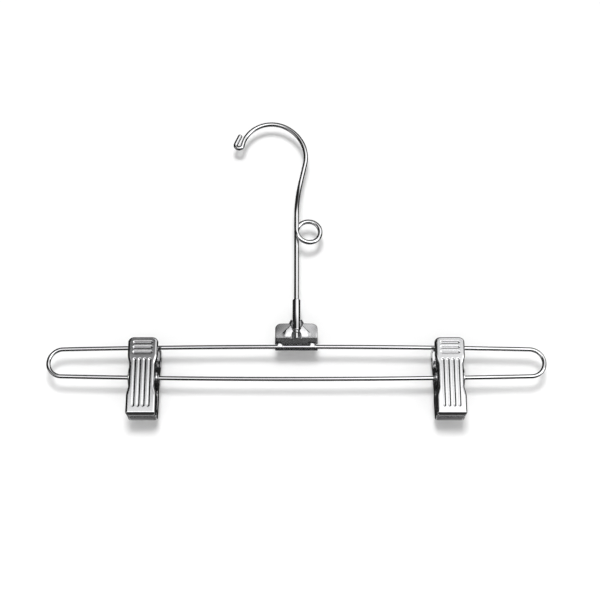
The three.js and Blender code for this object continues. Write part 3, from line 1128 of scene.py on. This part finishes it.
    def row_places(self) -> list[float]:
        """Lays out the face's rows, close together over the grooves' walls and at the corners.

        Returns:
            The rows' heights, from the foot up.
        """
        half = self.groove_width / 2
        low, high = self.face_foot, self.face_top
        turns = [RIGHT_ANGLE * share for share in shares(self.corner_steps)]
        places = {low + self.face_corner * (1 - math.cos(turn)) for turn in turns}
        places |= {high - self.face_top_corner * (1 - math.cos(turn)) for turn in turns}
        across = [groove.z for groove in self.grooves if groove.across]
        for z in across:
            places |= {z + side * offset * half for offset in self.groove_lines for side in (-1, 1)}
        for end, way in ((self.long_groove_top, -1), (-self.long_groove_foot, 1)):
            places |= {end + way * half * (1 - offset) for offset in self.groove_lines}
        spaced = [low + (high - low) * share for share in shares(round((high - low) / self.row_step))]
        places |= {place for place in spaced if all(abs(place - other) > self.row_clear for other in places)}
        rows: list[float] = []
        for place in sorted(places):
            if not rows or place - rows[-1] > self.row_least:
                rows.append(place)
        return rows

    def face_edge(self, z: float) -> tuple[float, Vector]:
        """Where the flat face ends at a height, and the outward direction there.

        Args:
            z: the height.

        Returns:
            The half width of the flat face, and the direction in X and Z.
        """
        flat = self.outer_width(z) - self.side_bend
        for corner, beyond, way in (
            (self.face_corner, self.face_foot + self.face_corner - z, -1),
            (self.face_top_corner, z - self.face_top + self.face_top_corner, 1),
        ):
            if beyond > 0:
                rise = min(beyond / corner, 1.0)
                side = math.sqrt(max(1 - rise * rise, 0.0))
                return flat - corner * (1 - side), Vector((side, way * rise))
        reach = self.slope_reach
        slope = (self.outer_width(z + reach) - self.outer_width(z - reach)) / (2 * reach)
        return flat, Vector((1.0, -slope)).normalized()

    def grid(self) -> tuple[list[list[tuple[float, float]]], list[tuple[int, int, Vector]]]:
        """The face's grid in X and Z, and its edge with outward directions.

        Returns:
            The rows of places, and for each place of the edge in order its row, its column and
            its direction.
        """
        columns = self.column_places()
        rows, edges = [], []
        for z in self.row_places():
            width, direction = self.face_edge(z)
            across = widened(columns, self.straight_reach, width, self.side_columns)
            rows.append([(x, z) for x in across])
            edges.append(direction)
        return rows, edge_ring(edges, len(rows[0]), Vector((0.0, -1.0)), Vector((0.0, 1.0)))

    def draft(self) -> MeshDraft:
        """The whole half, as one closed sheet of even thickness.

        Returns:
            The mesh, with its face towards -Y.
        """
        rows, ring = self.grid()
        face = -self.depth
        outer = [[Vector((x, face + self.press(x, z, 0.0), z)) for x, z in row] for row in rows]
        inner = [
            [Vector((x, face + self.sheet + self.press(x, z, self.sheet / 2), z)) for x, z in row]
            for row in rows
        ]
        rims = []
        for stage in zip(*(self.rim_profile(direction) for _, _, direction in ring)):
            points = []
            for (row, column, direction), (reach, origin, deep) in zip(ring, stage):
                x, z = rows[row][column]
                place = Vector((x + direction.x * reach, face + deep, z + direction.y * reach))
                if origin is Measured.RIM:
                    place.y = self.rim_depth(place.z) - deep
                points.append(place)
            rims.append(points)
        return closed_sheet(outer, inner, ring, rims)

    def rim_profile(self, direction: Vector) -> list[tuple[float, Measured, float]]:
        """The section from the flat face round the bend and the rim's edge to the inner face.

        Args:
            direction: the outward direction of the rim there, in X and Z.

        Returns:
            For each point its reach outside the flat face, what its depth is measured from, and
            that depth, back from the face or forward from the rim's edge.
        """
        level_bend = self.foot_bend if direction.y < 0 else self.edge_bend
        bend = level_bend + (self.side_bend - level_bend) * direction.x**2
        inner = bend - self.sheet
        turns = [RIGHT_ANGLE * share for share in shares(self.bend_steps)][1:]
        outer_bend = [
            (bend * math.sin(turn), Measured.FACE, bend * (1 - math.cos(turn))) for turn in turns
        ]
        inner_bend = [
            (inner * math.sin(turn), Measured.FACE, bend - inner * math.cos(turn)) for turn in turns
        ]
        small = self.edge_round
        middle = self.edge_middle * small
        edge = [
            (bend, Measured.RIM, small),
            (bend - middle, Measured.RIM, middle),
            (bend - small, Measured.RIM, 0.0),
            (inner + small, Measured.RIM, 0.0),
            (inner + middle, Measured.RIM, middle),
            (inner, Measured.RIM, small),
        ]
        return [*outer_bend, *edge, *reversed(inner_bend)]


class Joining(Enum):
    """How one solid changes another."""

    ADD = "UNION"
    CUT = "DIFFERENCE"


def combine(piece: bpy.types.Object, joining: Joining, other: bpy.types.Object) -> None:
    """Adds a solid to a piece or cuts it off, and shades the piece smooth except at sharp edges.

    Args:
        piece: the piece that stays.
        joining: what the solid does.
        other: the solid, which is deleted after it.
    """
    change = piece.modifiers.new("combine", "BOOLEAN")
    change.operation = joining.value
    change.solver = "EXACT"
    change.object = other
    bpy.context.view_layer.update()
    graph = bpy.context.evaluated_depsgraph_get()
    finished = bpy.data.meshes.new_from_object(piece.evaluated_get(graph))
    piece.modifiers.clear()
    piece.data = finished
    bpy.data.objects.remove(other)
    shade(finished)


@dataclass
class Clip:
    """One sprung clip: its two pressed halves, the rivet that holds them, and the spring."""

    prefix: str
    sheet_finish: bpy.types.Material
    rivet_finish: bpy.types.Material
    spring_finish: bpy.types.Material
    front_waist: float = 1.3 * MM
    rear_waist: float = 0.3 * MM
    rivet_wall: float = 0.5 * MM
    rivet_bore: float = 2.1 * MM
    bore_round: float = 0.35 * MM
    flare_round: float = 0.2 * MM
    flare_back_round: float = 0.15 * MM
    neck_round: float = 0.1 * MM
    rivet_sides: int = 48
    spring_wire: float = 1.3 * MM
    spring_turns: int = 6
    spring_pitch: float = 1.85 * MM
    spring_leg_top: float = 17.4 * MM
    leg_fit: float = RUNNING_GAP
    leg_room: float = 0.45 * MM
    leg_steps: int = 24
    spring_sides: int = 16
    spring_steps: int = 40
    pivot: Vector = field(init=False)
    rivet_reach: Vector = field(init=False)

    def __post_init__(self) -> None:
        """Finds the pivot and the rivet's reach to each side from the rivet's node."""
        low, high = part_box(f"{self.prefix}_pivot_tube")
        self.pivot = (low + high) / 2
        self.rivet_reach = (high - low) / 2

    def half(self, shape: ClipHalf, side: Side) -> None:
        """Makes one pressed half.

        Args:
            shape: the half's sizes.
            side: which half it is. The rear one is turned round to face the other way.
        """
        turn = Matrix.Identity(4) if side is Side.FRONT else Matrix.Rotation(math.pi, 4, "Z")
        lean = shape.lean if side is Side.FRONT else -shape.lean
        place = Matrix.Translation(self.pivot) @ Matrix.Rotation(lean, 4, "X") @ turn
        name = f"{self.prefix}_{side.value}_pressing"
        piece = shape.draft().placed(place).object(name)
        rod = swept_wire(
            [self.pivot + Vector((way * 2 * shape.half_width, 0.0, 0.0)) for way in (-1, 1)],
            shape.pivot_hole,
            self.rivet_sides,
        )
        combine(piece, Joining.CUT, rod.object("pivot_hole"))
        dress(piece, self.sheet_finish)
        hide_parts(f"{self.prefix}_{side.value}_jaw")
        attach(piece, f"{self.prefix}_{side.value}")
        log.info("%s: %d faces", name, len(piece.data.polygons))

    def rivet(self) -> None:
        """Makes the hollow rivet with its two rolled flares."""
        flare, end = self.rivet_reach.z, self.rivet_reach.x
        inner_end = end - self.rivet_wall
        right_end = [
            (self.rivet_bore, end, self.bore_round),
            (flare, end, self.flare_round),
            (flare, inner_end, self.flare_back_round),
            (self.rivet_bore + self.rivet_wall, inner_end, self.neck_round),
        ]
        left_end = [(radius, -along, corner) for radius, along, corner in right_end]
        profile = rounded_corners([*left_end, *reversed(right_end)])
        place = Matrix.Translation(self.pivot) @ Matrix.Rotation(RIGHT_ANGLE, 4, "Y")
        piece = turned_ring(profile, self.rivet_sides).placed(place).object(f"{self.prefix}_rivet")
        dress(piece, self.rivet_finish)
        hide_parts(f"{self.prefix}_pivot_tube")
        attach(piece, f"{self.prefix}_slider")

    def spring(self, shape: ClipHalf) -> None:
        """Makes the torsion spring: its coil, and two straight legs.

        Args:
            shape: the sizes of the half that the legs press on.
        """
        radius = self.rivet_bore + self.rivet_wall + shape.running_gap + self.spring_wire / 2
        plate = shape.depth - shape.sheet - self.leg_room - self.leg_fit - self.spring_wire / 2
        leg_end_y = (plate + self.spring_leg_top * math.sin(shape.lean)) / math.cos(shape.lean)
        leg_end = Vector((leg_end_y, self.spring_leg_top))
        leave = math.atan2(leg_end.y, leg_end.x) - math.acos(radius / leg_end.length)
        coil_turn = self.spring_turns * FULL_TURN + 2 * (leave - RIGHT_ANGLE) + FULL_TURN
        coil_length = coil_turn / FULL_TURN * self.spring_pitch
        steps = round(coil_turn / FULL_TURN * self.spring_steps)
        coil = [
            self.pivot
            + Vector(
                (
                    coil_length * (share - 0.5),
                    radius * math.cos(leave - coil_turn * share),
                    radius * math.sin(leave - coil_turn * share),
                )
            )
            for share in shares(steps)
        ]
        body = f"{self.prefix}_clip"
        piece = swept_wire(coil, self.spring_wire / 2, self.spring_sides).object(f"{self.prefix}_coil")
        dress(piece, self.spring_finish)
        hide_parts(f"{self.prefix}_spring")
        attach(piece, body)
        for side, start, way in ((Side.REAR, coil[0], 1), (Side.FRONT, coil[-1], -1)):
            end = self.pivot + Vector((-way * coil_length / 2, way * leg_end.x, leg_end.y))
            path = [start.lerp(end, share) for share in shares(self.leg_steps)]
            draft = swept_wire(path, self.spring_wire / 2, self.spring_sides)
            leg = draft.object(f"{self.prefix}_{side.value}_leg")
            dress(leg, self.spring_finish)
            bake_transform(leg)

    def build(self) -> None:
        """Makes every piece of the clip."""
        front = ClipHalf(waist_step=self.front_waist)
        rear = ClipHalf(waist_step=self.rear_waist)
        self.half(front, Side.FRONT)
        self.half(rear, Side.REAR)
        self.rivet()
        self.spring(front)
        log.info("%s clip: two halves, a rivet and a spring", self.prefix)


@dataclass
class Bracket:
    """The folded sheet bracket that carries the sleeve and grips the frame wire.

    Its sizes are measured from the wire's centre under the middle of the sleeve.
    """

    finish: bpy.types.Material
    sheet: float = 0.9 * MM
    half_width: float = 15.25 * MM
    corner: float = 4 * MM
    leaf_gap: float = 0.5 * MM
    leaf_top: float = 17.9 * MM
    leaf_flare: float = 6.6 * MM
    wire_room: float = 1.8 * MM
    edge_round: float = 0.42 * MM
    crease_level: float = 20.4 * MM
    crease_step: float = 0.6 * MM
    gusset_slope: float = 0.22
    gusset_foot: float = 7.4 * MM
    gusset_fade: float = 7.0 * MM
    gusset_outer: float = 10.6 * MM
    facet_rise: float = 0.8 * MM
    facet_start: float = 0.1
    facet_skew: float = 0.5
    channel_bore: float = 3.1 * MM
    channel_radius: float = 4 * MM
    channel_foot: float = 5.9 * MM
    collar_start: float = 16.3 * MM
    collar_radius: float = 5.3 * MM
    collar_top: float = 21.1 * MM
    collar_top_radius: float = 3.95 * MM
    collar_foot: float = 1.6 * MM
    funnel_back: float = 2.3 * MM
    funnel_flare: float = 0.5
    funnel_sides: tuple[tuple[float, float], ...] = (
        (11.4 * MM, 1.5 * MM),
        (14.8 * MM, 2.85 * MM),
        (16.5 * MM, 4.3 * MM),
        (18.2 * MM, 4.8 * MM),
        (21.8 * MM, 3.9 * MM),
    )
    dish_across: float = 0.9 * MM
    dish_up: float = 0.65 * MM
    arch_half: float = 4.2 * MM
    arch_foot: float = 5.9 * MM
    arch_rise: float = 12.5 * MM
    window_half: float = 9.8 * MM
    window_foot: float = -1.4 * MM
    window_top: float = 1.5 * MM
    window_corner: float = 0.8 * MM
    finger_end: float = 13.3 * MM
    inner_columns: float = 10.8 * MM
    grid_step: float = 0.2 * MM
    corner_steps: int = 24
    fold_steps: int = 24
    arch_steps: int = 24
    collar_steps: int = 6
    side_columns: int = 4
    edge_steps: int = 3
    round_sides: int = 64

    def press(self, x: float, z: float) -> float:
        """How far the front is raised at a point.

        The gussets rise under two slanting creases, and each finger has a slanting facet.

        Args:
            x: the point's place across.
            z: its height.

        Returns:
            The rise, towards the front.
        """
        across = abs(x)
        if z > self.leaf_flare:
            below = (self.crease_level - across - z) / math.sqrt(2)
            fade = 1 - smooth_step((across - self.gusset_fade) / (self.gusset_outer - self.gusset_fade))
            lean = max(z - self.gusset_foot, 0.0) * self.gusset_slope
            return lean * fade * smooth_step(below / self.crease_step)
        middle = (self.window_half + self.finger_end) / 2
        half = (self.finger_end - self.window_half) / 2
        aside = abs(x - math.copysign(middle, x) + self.facet_skew * z) / half
        rise = smooth_step((z + self.facet_start * self.window_top) / self.window_top)
        fall = 1 - smooth_step((z - self.window_top) / self.window_top)
        return self.facet_rise * rise * fall * (1 - smooth_step(2 * aside - 1))

    def dish(self, x: float, z: float) -> float:
        """How far both leaves bend back at a point, towards their sides and their top."""
        up = max(z - self.leaf_flare, 0.0) / (self.leaf_top - self.leaf_flare)
        return self.dish_across * smooth_step(up) * (x / self.half_width) ** 2 + self.dish_up * up**2

    def middle_line(self) -> list[tuple[float, float]]:
        """Draws the folded sheet from its side: two leaves that close above the wire.

        Returns:
            The middle of the sheet in Y and Z, from the front leaf's top round to the back's.
        """
        leaf = (self.leaf_gap + self.sheet) / 2
        fold = self.wire_room + self.sheet / 2
        neck = Vector((-leaf, self.leaf_flare))
        tangent = math.atan2(neck.y, neck.x) + math.acos(fold / neck.length)
        arc_foot = self.leaf_top - self.corner
        arc = self.corner - self.edge_round
        heights = [arc_foot + arc * math.cos(RIGHT_ANGLE * share) for share in shares(self.corner_steps)]
        count = round((arc_foot - self.leaf_flare) / self.grid_step)
        heights += [arc_foot + (self.leaf_flare - arc_foot) * share for share in shares(count)[1:]]
        front = [(-leaf, height) for height in heights]
        touch = Vector((fold * math.cos(tangent), fold * math.sin(tangent)))
        count = round((touch - neck).length / (2 * self.grid_step))
        front += [tuple(neck.lerp(touch, share)) for share in shares(count)[1:]]
        bottom = 3 * RIGHT_ANGLE
        turns = [tangent + (bottom - tangent) * share for share in shares(self.fold_steps // 2)[1:]]
        front += [(fold * math.cos(turn), fold * math.sin(turn)) for turn in turns]
        return front + [(-y, z) for y, z in reversed(front[:-1])]

    def edge(self, z: float) -> tuple[float, Vector]:
        """Where the sheet's rim starts at a height, and the outward direction there.

        Args:
            z: the height.

        Returns:
            The half width up to the rim, and the direction.
        """
        arc = self.corner - self.edge_round
        flat = self.half_width - self.corner
        rise = min(max((z - self.leaf_top + self.corner) / arc, 0.0), 1.0)
        side = math.sqrt(1 - rise * rise)
        return flat + arc * side, Vector((side, 0.0, rise))

    def sheet_draft(self) -> MeshDraft:
        """Folds the strip with its gussets and facets, before anything is cut from it.

        Returns:
            The closed sheet.
        """
        line = self.middle_line()
        count = round(2 * self.inner_columns / self.grid_step)
        inner = [self.inner_columns * (2 * share - 1) for share in shares(count)]
        faces: dict[int, list[list[Vector]]] = {1: [], -1: []}
        normals, edges, places = [], [], []
        for index, (y, z) in enumerate(line):
            before, after = line[max(index - 1, 0)], line[min(index + 1, len(line) - 1)]
            along = Vector((after[0] - before[0], after[1] - before[1])).normalized()
            normal = Vector((0.0, along.y, -along.x))
            width, direction = self.edge(z)
            row = widened(inner, self.inner_columns, width, self.side_columns)
            in_front = y < 0
            raised = [
                Vector((x, y + self.dish(x, z), z)) + normal * (self.press(x, z) if in_front else 0.0)
                for x in row
            ]
            for side, face in faces.items():
                face.append([place + normal * (side * self.sheet / 2) for place in raised])
            normals.append(normal)
            edges.append(direction)
            places.append(raised)
        up = Vector((0.0, 0.0, 1.0))
        ring = edge_ring(edges, len(places[0]), up, up)
        rims = []
        small = self.edge_round
        turns = [RIGHT_ANGLE * share for share in shares(self.edge_steps)][1:]
        half = self.sheet / 2
        levels = [(small * math.sin(turn), small * (1 - math.cos(turn)) - half) for turn in turns]
        levels += [(reach, -level) for reach, level in reversed(levels)]
        for reach, level in levels:
            rims.append(
                [places[row][column] + way * reach + normals[row] * level for row, column, way in ring]
            )
        return closed_sheet(faces[-1], faces[1], ring, rims)

    def channel_draft(self) -> MeshDraft:
        """Turns the round channel for the sleeve, with the flared collar on top.

        Returns:
            The channel, still solid.
        """
        bulge = self.collar_radius - self.channel_radius
        flare = [
            (self.channel_radius + bulge * smooth_step(share), self.collar_start + self.collar_foot * share)
            for share in shares(self.collar_steps)
        ]
        return turned_solid(
            [
                (self.channel_bore, self.channel_foot - self.sheet),
                (self.channel_radius, self.channel_foot),
                *flare,
                (self.collar_top_radius, self.collar_top),
            ],
            self.round_sides,
        )

    def channel_front(self) -> MeshDraft:
        """The room in front of the channel below the collar, where the front leaf is instead.

        Returns:
            The solid that is cut off the channel.
        """
        past = self.channel_radius + self.sheet
        low, high = self.channel_foot - 2 * self.sheet, self.collar_start
        return prism(rectangle(-past, past, low, high), -past, -self.leaf_gap)

    def funnel(self) -> MeshDraft:
        """The opening in front of the sleeve, which widens up to the collar and towards the front.

        Returns:
            The solid that is cut away.
        """
        draft = MeshDraft()
        front, back = -self.collar_radius - self.sheet, self.funnel_back
        rings = []
        for height, half_width in self.funnel_sides:
            near = half_width - self.funnel_flare * front
            far = half_width - self.funnel_flare * back
            corners = [(-near, front), (near, front), (far, back), (-far, back)]
            rings.append(draft.add_row(Vector((x, y, height)) for x, y in corners))
        for lower, upper in zip(rings, rings[1:]):
            draft.strip(lower, upper, closed=True)
        draft.cap(rings[0], facing_back=True)
        draft.cap(rings[-1], facing_back=False)
        return draft

    def cuts(self) -> list[MeshDraft]:
        """Makes what is cut away: bore, funnel, arch, window and the gaps beside the fingers.

        Returns:
            The solids, in the order in which they cut.
        """
        front, above = -2 * self.collar_radius, self.collar_top + self.sheet
        bore = turned_solid(
            [(self.channel_bore, self.channel_foot), (self.channel_bore, above)], self.round_sides
        )
        rise = self.arch_rise - self.arch_foot
        turns = [math.pi * share for share in shares(self.arch_steps)]
        arch = [
            (self.arch_half * math.cos(turn), self.arch_foot + rise * math.sin(turn)) for turn in turns
        ]
        opening = prism(arch, front, -self.leaf_gap / 2)
        past = self.half_width + self.sheet
        gaps = [
            (-self.window_half, self.window_half),
            (self.finger_end, past),
            (-past, -self.finger_end),
        ]
        windows = []
        for left, right in gaps:
            corners = rectangle(left, right, self.window_foot, self.window_top)
            outline = rounded_corners([(*corner, self.window_corner) for corner in corners])
            windows.append(prism(outline, front, 0.0))
        return [bore, self.funnel(), opening, *windows]

    def build(self) -> None:
        """Makes the bracket where its node is and lets it ride on the frame."""
        low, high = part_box("top_bracket")
        fold = self.wire_room + self.sheet
        place = Matrix.Translation(Vector(((low.x + high.x) / 2, 0.0, low.z + fold)))
        channel = self.channel_draft().placed(place).object("channel")
        combine(channel, Joining.CUT, self.channel_front().placed(place).object("channel_front"))
        piece = self.sheet_draft().placed(place).object("folded_bracket")
        combine(piece, Joining.ADD, channel)
        for draft in self.cuts():
            combine(piece, Joining.CUT, draft.placed(place).object("bracket_cut"))
        dress(piece, self.finish)
        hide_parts("top_bracket")
        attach(piece, "frame")
        log.info("bracket: one folded sheet of %d faces", len(piece.data.polygons))


@dataclass(frozen=True)
class Panel:
    """A soft panel of light in the studio's surround, as the metal sees it.

    Attributes:
        azimuth: its direction from the front, positive to the right, in degrees.
        elevation: its height above the horizon, in degrees.
        half_width: its reach to each side, in degrees.
        half_height: its reach up and down, in degrees.
        side_fade: how far its side edges fade, in degrees.
        height_fade: how far its top and foot fade, in degrees.
        strength: its brightness.
    """

    azimuth: float
    elevation: float
    half_width: float
    half_height: float
    side_fade: float
    height_fade: float
    strength: float

    def mask(self, graph: Graph, direction: Value) -> Value:
        """How much of a direction the panel fills.

        Args:
            graph: the surround's graph.
            direction: the direction, of length 1.

        Returns:
            The panel's brightness in that direction.
        """
        azimuth = math.radians(self.azimuth)

        def towards(axis: tuple[float, float, float]) -> Value:
            """The share of the direction that lies along an axis."""
            return graph.vector("DOT_PRODUCT", direction, axis).out("Value")

        def window(angle: Value, reach: float, fade: float) -> Value:
            """How far an angle from the panel's middle lies inside the panel.

            Args:
                angle: the angle.
                reach: how far the panel reaches to both sides, in degrees.
                fade: how far its edges fade, in degrees.

            Returns:
                1 inside the reach, and 0 outside it.
            """
            size = graph.calculate("ABSOLUTE", angle)
            limits = {1: math.radians(reach + fade / 2), 2: math.radians(reach - fade / 2), 3: 0.0, 4: 1.0}
            settings = {"interpolation_type": "SMOOTHSTEP"}
            return graph.node("ShaderNodeMapRange", settings, {0: size, **limits}).out(0)

        ahead = towards((math.sin(azimuth), -math.cos(azimuth), 0.0))
        aside = towards((math.cos(azimuth), math.sin(azimuth), 0.0))
        up = towards((0.0, 0.0, 1.0))
        turned = graph.calculate("ARCTAN2", aside, ahead)
        raised = graph.calculate("ARCSINE", up) - math.radians(self.elevation)
        side = window(turned, self.half_width, self.side_fade)
        height = window(raised, self.half_height, self.height_fade)
        return side * height * self.strength


@dataclass
class Studio:
    """The pale backdrop and floor, the light, and what the metal reflects."""

    backdrop_place: float = 14.8 * MM
    backdrop_lean: float = math.radians(1.5)
    floor_drop: float = 0.36
    stage_half: float = 2.0
    surround_radius: float = 4.0
    surround_rows: int = 16
    pale: float = 0.81
    pale_rise: float = 0.62
    pale_most: float = 0.95
    fill_level: float = 0.48
    key_power: float = 10.6
    key_width: float = 0.36
    key_place: tuple[float, float, float] = (10 * MM, -1200 * MM, -3 * MM)
    dark_level: float = 0.02
    panels: tuple[Panel, ...] = (
        Panel(20.0, -7.6, 42.0, 11.0, 10.0, 10.0, 2.2),  # low in front, the brightest
        Panel(20.0, 27.0, 43.0, 9.0, 10.0, 12.0, 0.6),  # above it, for the bracket's plate
        Panel(32.5, 8.0, 29.5, 32.0, 16.0, 14.0, 0.85),  # to the right, for the right clip
        Panel(180.0, -17.0, 22.0, 6.0, 8.0, 5.0, 0.6),  # low behind
        Panel(0.0, -42.0, 62.0, 14.0, 12.0, 10.0, 0.15),  # far below in front
        Panel(-98.5, -21.0, 68.5, 14.0, 10.0, 8.0, 0.28),  # left side
        Panel(115.5, -21.0, 51.5, 14.0, 10.0, 8.0, 0.28),  # right side
        Panel(180.0, -36.0, 24.0, 14.0, 8.0, 8.0, 0.12),  # far below behind
    )

    def sheet(self, name: str, corners: Sequence[tuple[float, float, float]]) -> bpy.types.Object:
        """Makes a flat sheet of the stage, which the metal doesn't reflect.

        Args:
            name: the sheet's name.
            corners: its four corners.

        Returns:
            The sheet.
        """
        draft = MeshDraft()
        draft.cap(draft.add_row(Vector(corner) for corner in corners), facing_back=False)
        piece = draft.object(name)
        piece.visible_glossy = False
        piece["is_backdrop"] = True
        return piece

    def pale_material(self, name: str, see_through_behind: bool) -> bpy.types.Material:
        """A matt pale material, whose tone rises away from the key light to even out its fall.

        Args:
            name: the material's name.
            see_through_behind: whether its back lets the eye through.

        Returns:
            The material.
        """
        made, graph = new_material(name)
        place = graph.node("ShaderNodeTexCoord").out("Object")
        apart = graph.vector("SUBTRACT", place, self.key_place).out(0)
        upright = graph.vector("MULTIPLY", apart, (1.0, 0.0, 1.0)).out(0)
        square = graph.vector("DOT_PRODUCT", upright, upright).out("Value")
        tone = graph.calculate("MINIMUM", square * self.pale_rise + self.pale, self.pale_most)
        colour = graph.node("ShaderNodeCombineColor", {}, {0: tone, 1: tone, 2: tone}).out(0)
        matt = graph.node("ShaderNodeBsdfDiffuse", {}, {"Color": colour}).out(0)
        if see_through_behind:
            clear = graph.node("ShaderNodeBsdfTransparent").out(0)
            behind = graph.node("ShaderNodeNewGeometry").out("Backfacing")
            matt = graph.node("ShaderNodeMixShader", {}, {0: behind, 1: matt, 2: clear}).out(0)
        graph.node("ShaderNodeOutputMaterial", {}, {"Surface": matt})
        return made

    def build_sheets(self) -> None:
        """Makes the upright backdrop behind the hanger and the floor below it."""
        low = cad_box[0]
        floor = low.z - self.floor_drop
        half = self.stage_half
        slope = math.tan(self.backdrop_lean)
        back_low, back_high = (self.backdrop_place - height * slope for height in (floor, half))
        backdrop = self.sheet(
            "backdrop",
            [
                (-half, back_low, floor),
                (half, back_low, floor),
                (half, back_high, half),
                (-half, back_high, half),
            ],
        )
        backdrop.data.materials.append(self.pale_material("matt_backdrop", True))
        ground = self.sheet("floor", [(x, y, floor) for x, y in rectangle(-half, half, -half, half)])
        ground.data.materials.append(self.pale_material("matt_floor", False))

    def build_surround(self) -> None:
        """Makes the shell that only the metal's reflections see."""
        turns = [math.pi * share for share in shares(self.surround_rows)[1:-1]]
        profile = [
            (self.surround_radius * math.sin(turn), -self.surround_radius * math.cos(turn)) for turn in turns
        ]
        shell = turned_solid(profile, 2 * self.surround_rows).object("studio_surround")
        shell.location = (cad_box[0] + cad_box[1]) / 2
        shell.visible_camera = False
        shell.visible_diffuse = False
        shell.visible_transmission = False
        shell.visible_shadow = False
        made, graph = new_material("studio_panels")
        place = graph.node("ShaderNodeTexCoord").out("Object")
        direction = graph.vector("NORMALIZE", place).out(0)
        level = self.panels[0].mask(graph, direction) + self.dark_level
        for panel in self.panels[1:]:
            level = level + panel.mask(graph, direction)
        light = graph.node("ShaderNodeEmission", {}, {"Color": WHITE, "Strength": level}).out(0)
        graph.node("ShaderNodeOutputMaterial", {}, {"Surface": light})
        shell.data.materials.append(made)
        shell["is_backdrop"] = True

    def build_light(self) -> None:
        """Makes the soft key light, which casts the shadow, and the even fill of the world."""
        lamp = bpy.data.lights.new("key_light", "AREA")
        lamp.shape = "DISK"
        lamp.size = self.key_width
        lamp.energy = self.key_power
        key = bpy.data.objects.new("key_light", lamp)
        key.location = self.key_place
        key.rotation_euler = (RIGHT_ANGLE, 0.0, 0.0)
        key.visible_glossy = False
        bpy.context.scene.collection.objects.link(key)
        world = bpy.data.worlds.new("studio_fill")
        world.use_nodes = True
        graph = Graph(world.node_tree)
        rays = graph.node("ShaderNodeLightPath")
        direct = rays.out("Is Camera Ray") + rays.out("Is Glossy Ray") + rays.out("Is Transmission Ray")
        level = graph.calculate("MINIMUM", direct, 1.0) * (1 - self.fill_level) + self.fill_level
        background = graph.node("ShaderNodeBackground", {}, {"Color": WHITE, "Strength": level}).out(0)
        graph.node("ShaderNodeOutputWorld", {}, {"Surface": background})
        bpy.context.scene.world = world

    def build(self) -> None:
        """Makes the stage and its light."""
        self.build_sheets()
        self.build_surround()
        self.build_light()
        log.info("studio: backdrop, floor, surround, key light and fill")


@dataclass(frozen=True)
class PhotoCamera:
    """The camera, in front of the hanger and below it, looking up."""

    place: tuple[float, float, float] = (22.012 * MM, -742.5 * MM, -445.5 * MM)
    pitch: float = math.radians(112)
    lens: float = 66.0
    sensor: float = 36.0

    def build(self) -> None:
        """Makes the camera and sets it as the scene's."""
        data = bpy.data.cameras.new("photo_camera")
        data.lens = self.lens
        data.sensor_width = self.sensor
        camera = bpy.data.objects.new("photo_camera", data)
        camera.location = self.place
        camera.rotation_euler = (self.pitch, 0.0, 0.0)
        bpy.context.scene.collection.objects.link(camera)
        bpy.context.scene.camera = camera
        log.info("camera: set")


def write_sizes() -> None:
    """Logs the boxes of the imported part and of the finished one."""
    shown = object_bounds()
    boxes = {"cad": cad_box, "visual": shown}
    lines = {name: [list(corner) for corner in corners] for name, corners in boxes.items()}
    for name, corners in lines.items():
        log.info("%s box: %s", name, corners)


def main() -> None:
    """Builds the camera, the studio and every piece of the hanger."""
    logging.basicConfig(level=logging.INFO, format="%(message)s")
    bpy.context.scene.view_settings.view_transform = "Standard"
    PhotoCamera().build()
    Studio().build()
    chrome = POLISHED_WIRE.material()
    satin = SATIN_BRACKET.material()
    nickel = NICKEL_SHEET.material()
    steel = SPRING_STEEL.material()
    Hook(chrome).build()
    Sleeve(chrome).build()
    Bracket(satin).build()
    FrameLoop(chrome).build()
    for prefix in ("left", "right"):
        Clip(prefix, nickel, satin, steel).build()
    write_sizes()


if __name__ == "__main__":
    main()
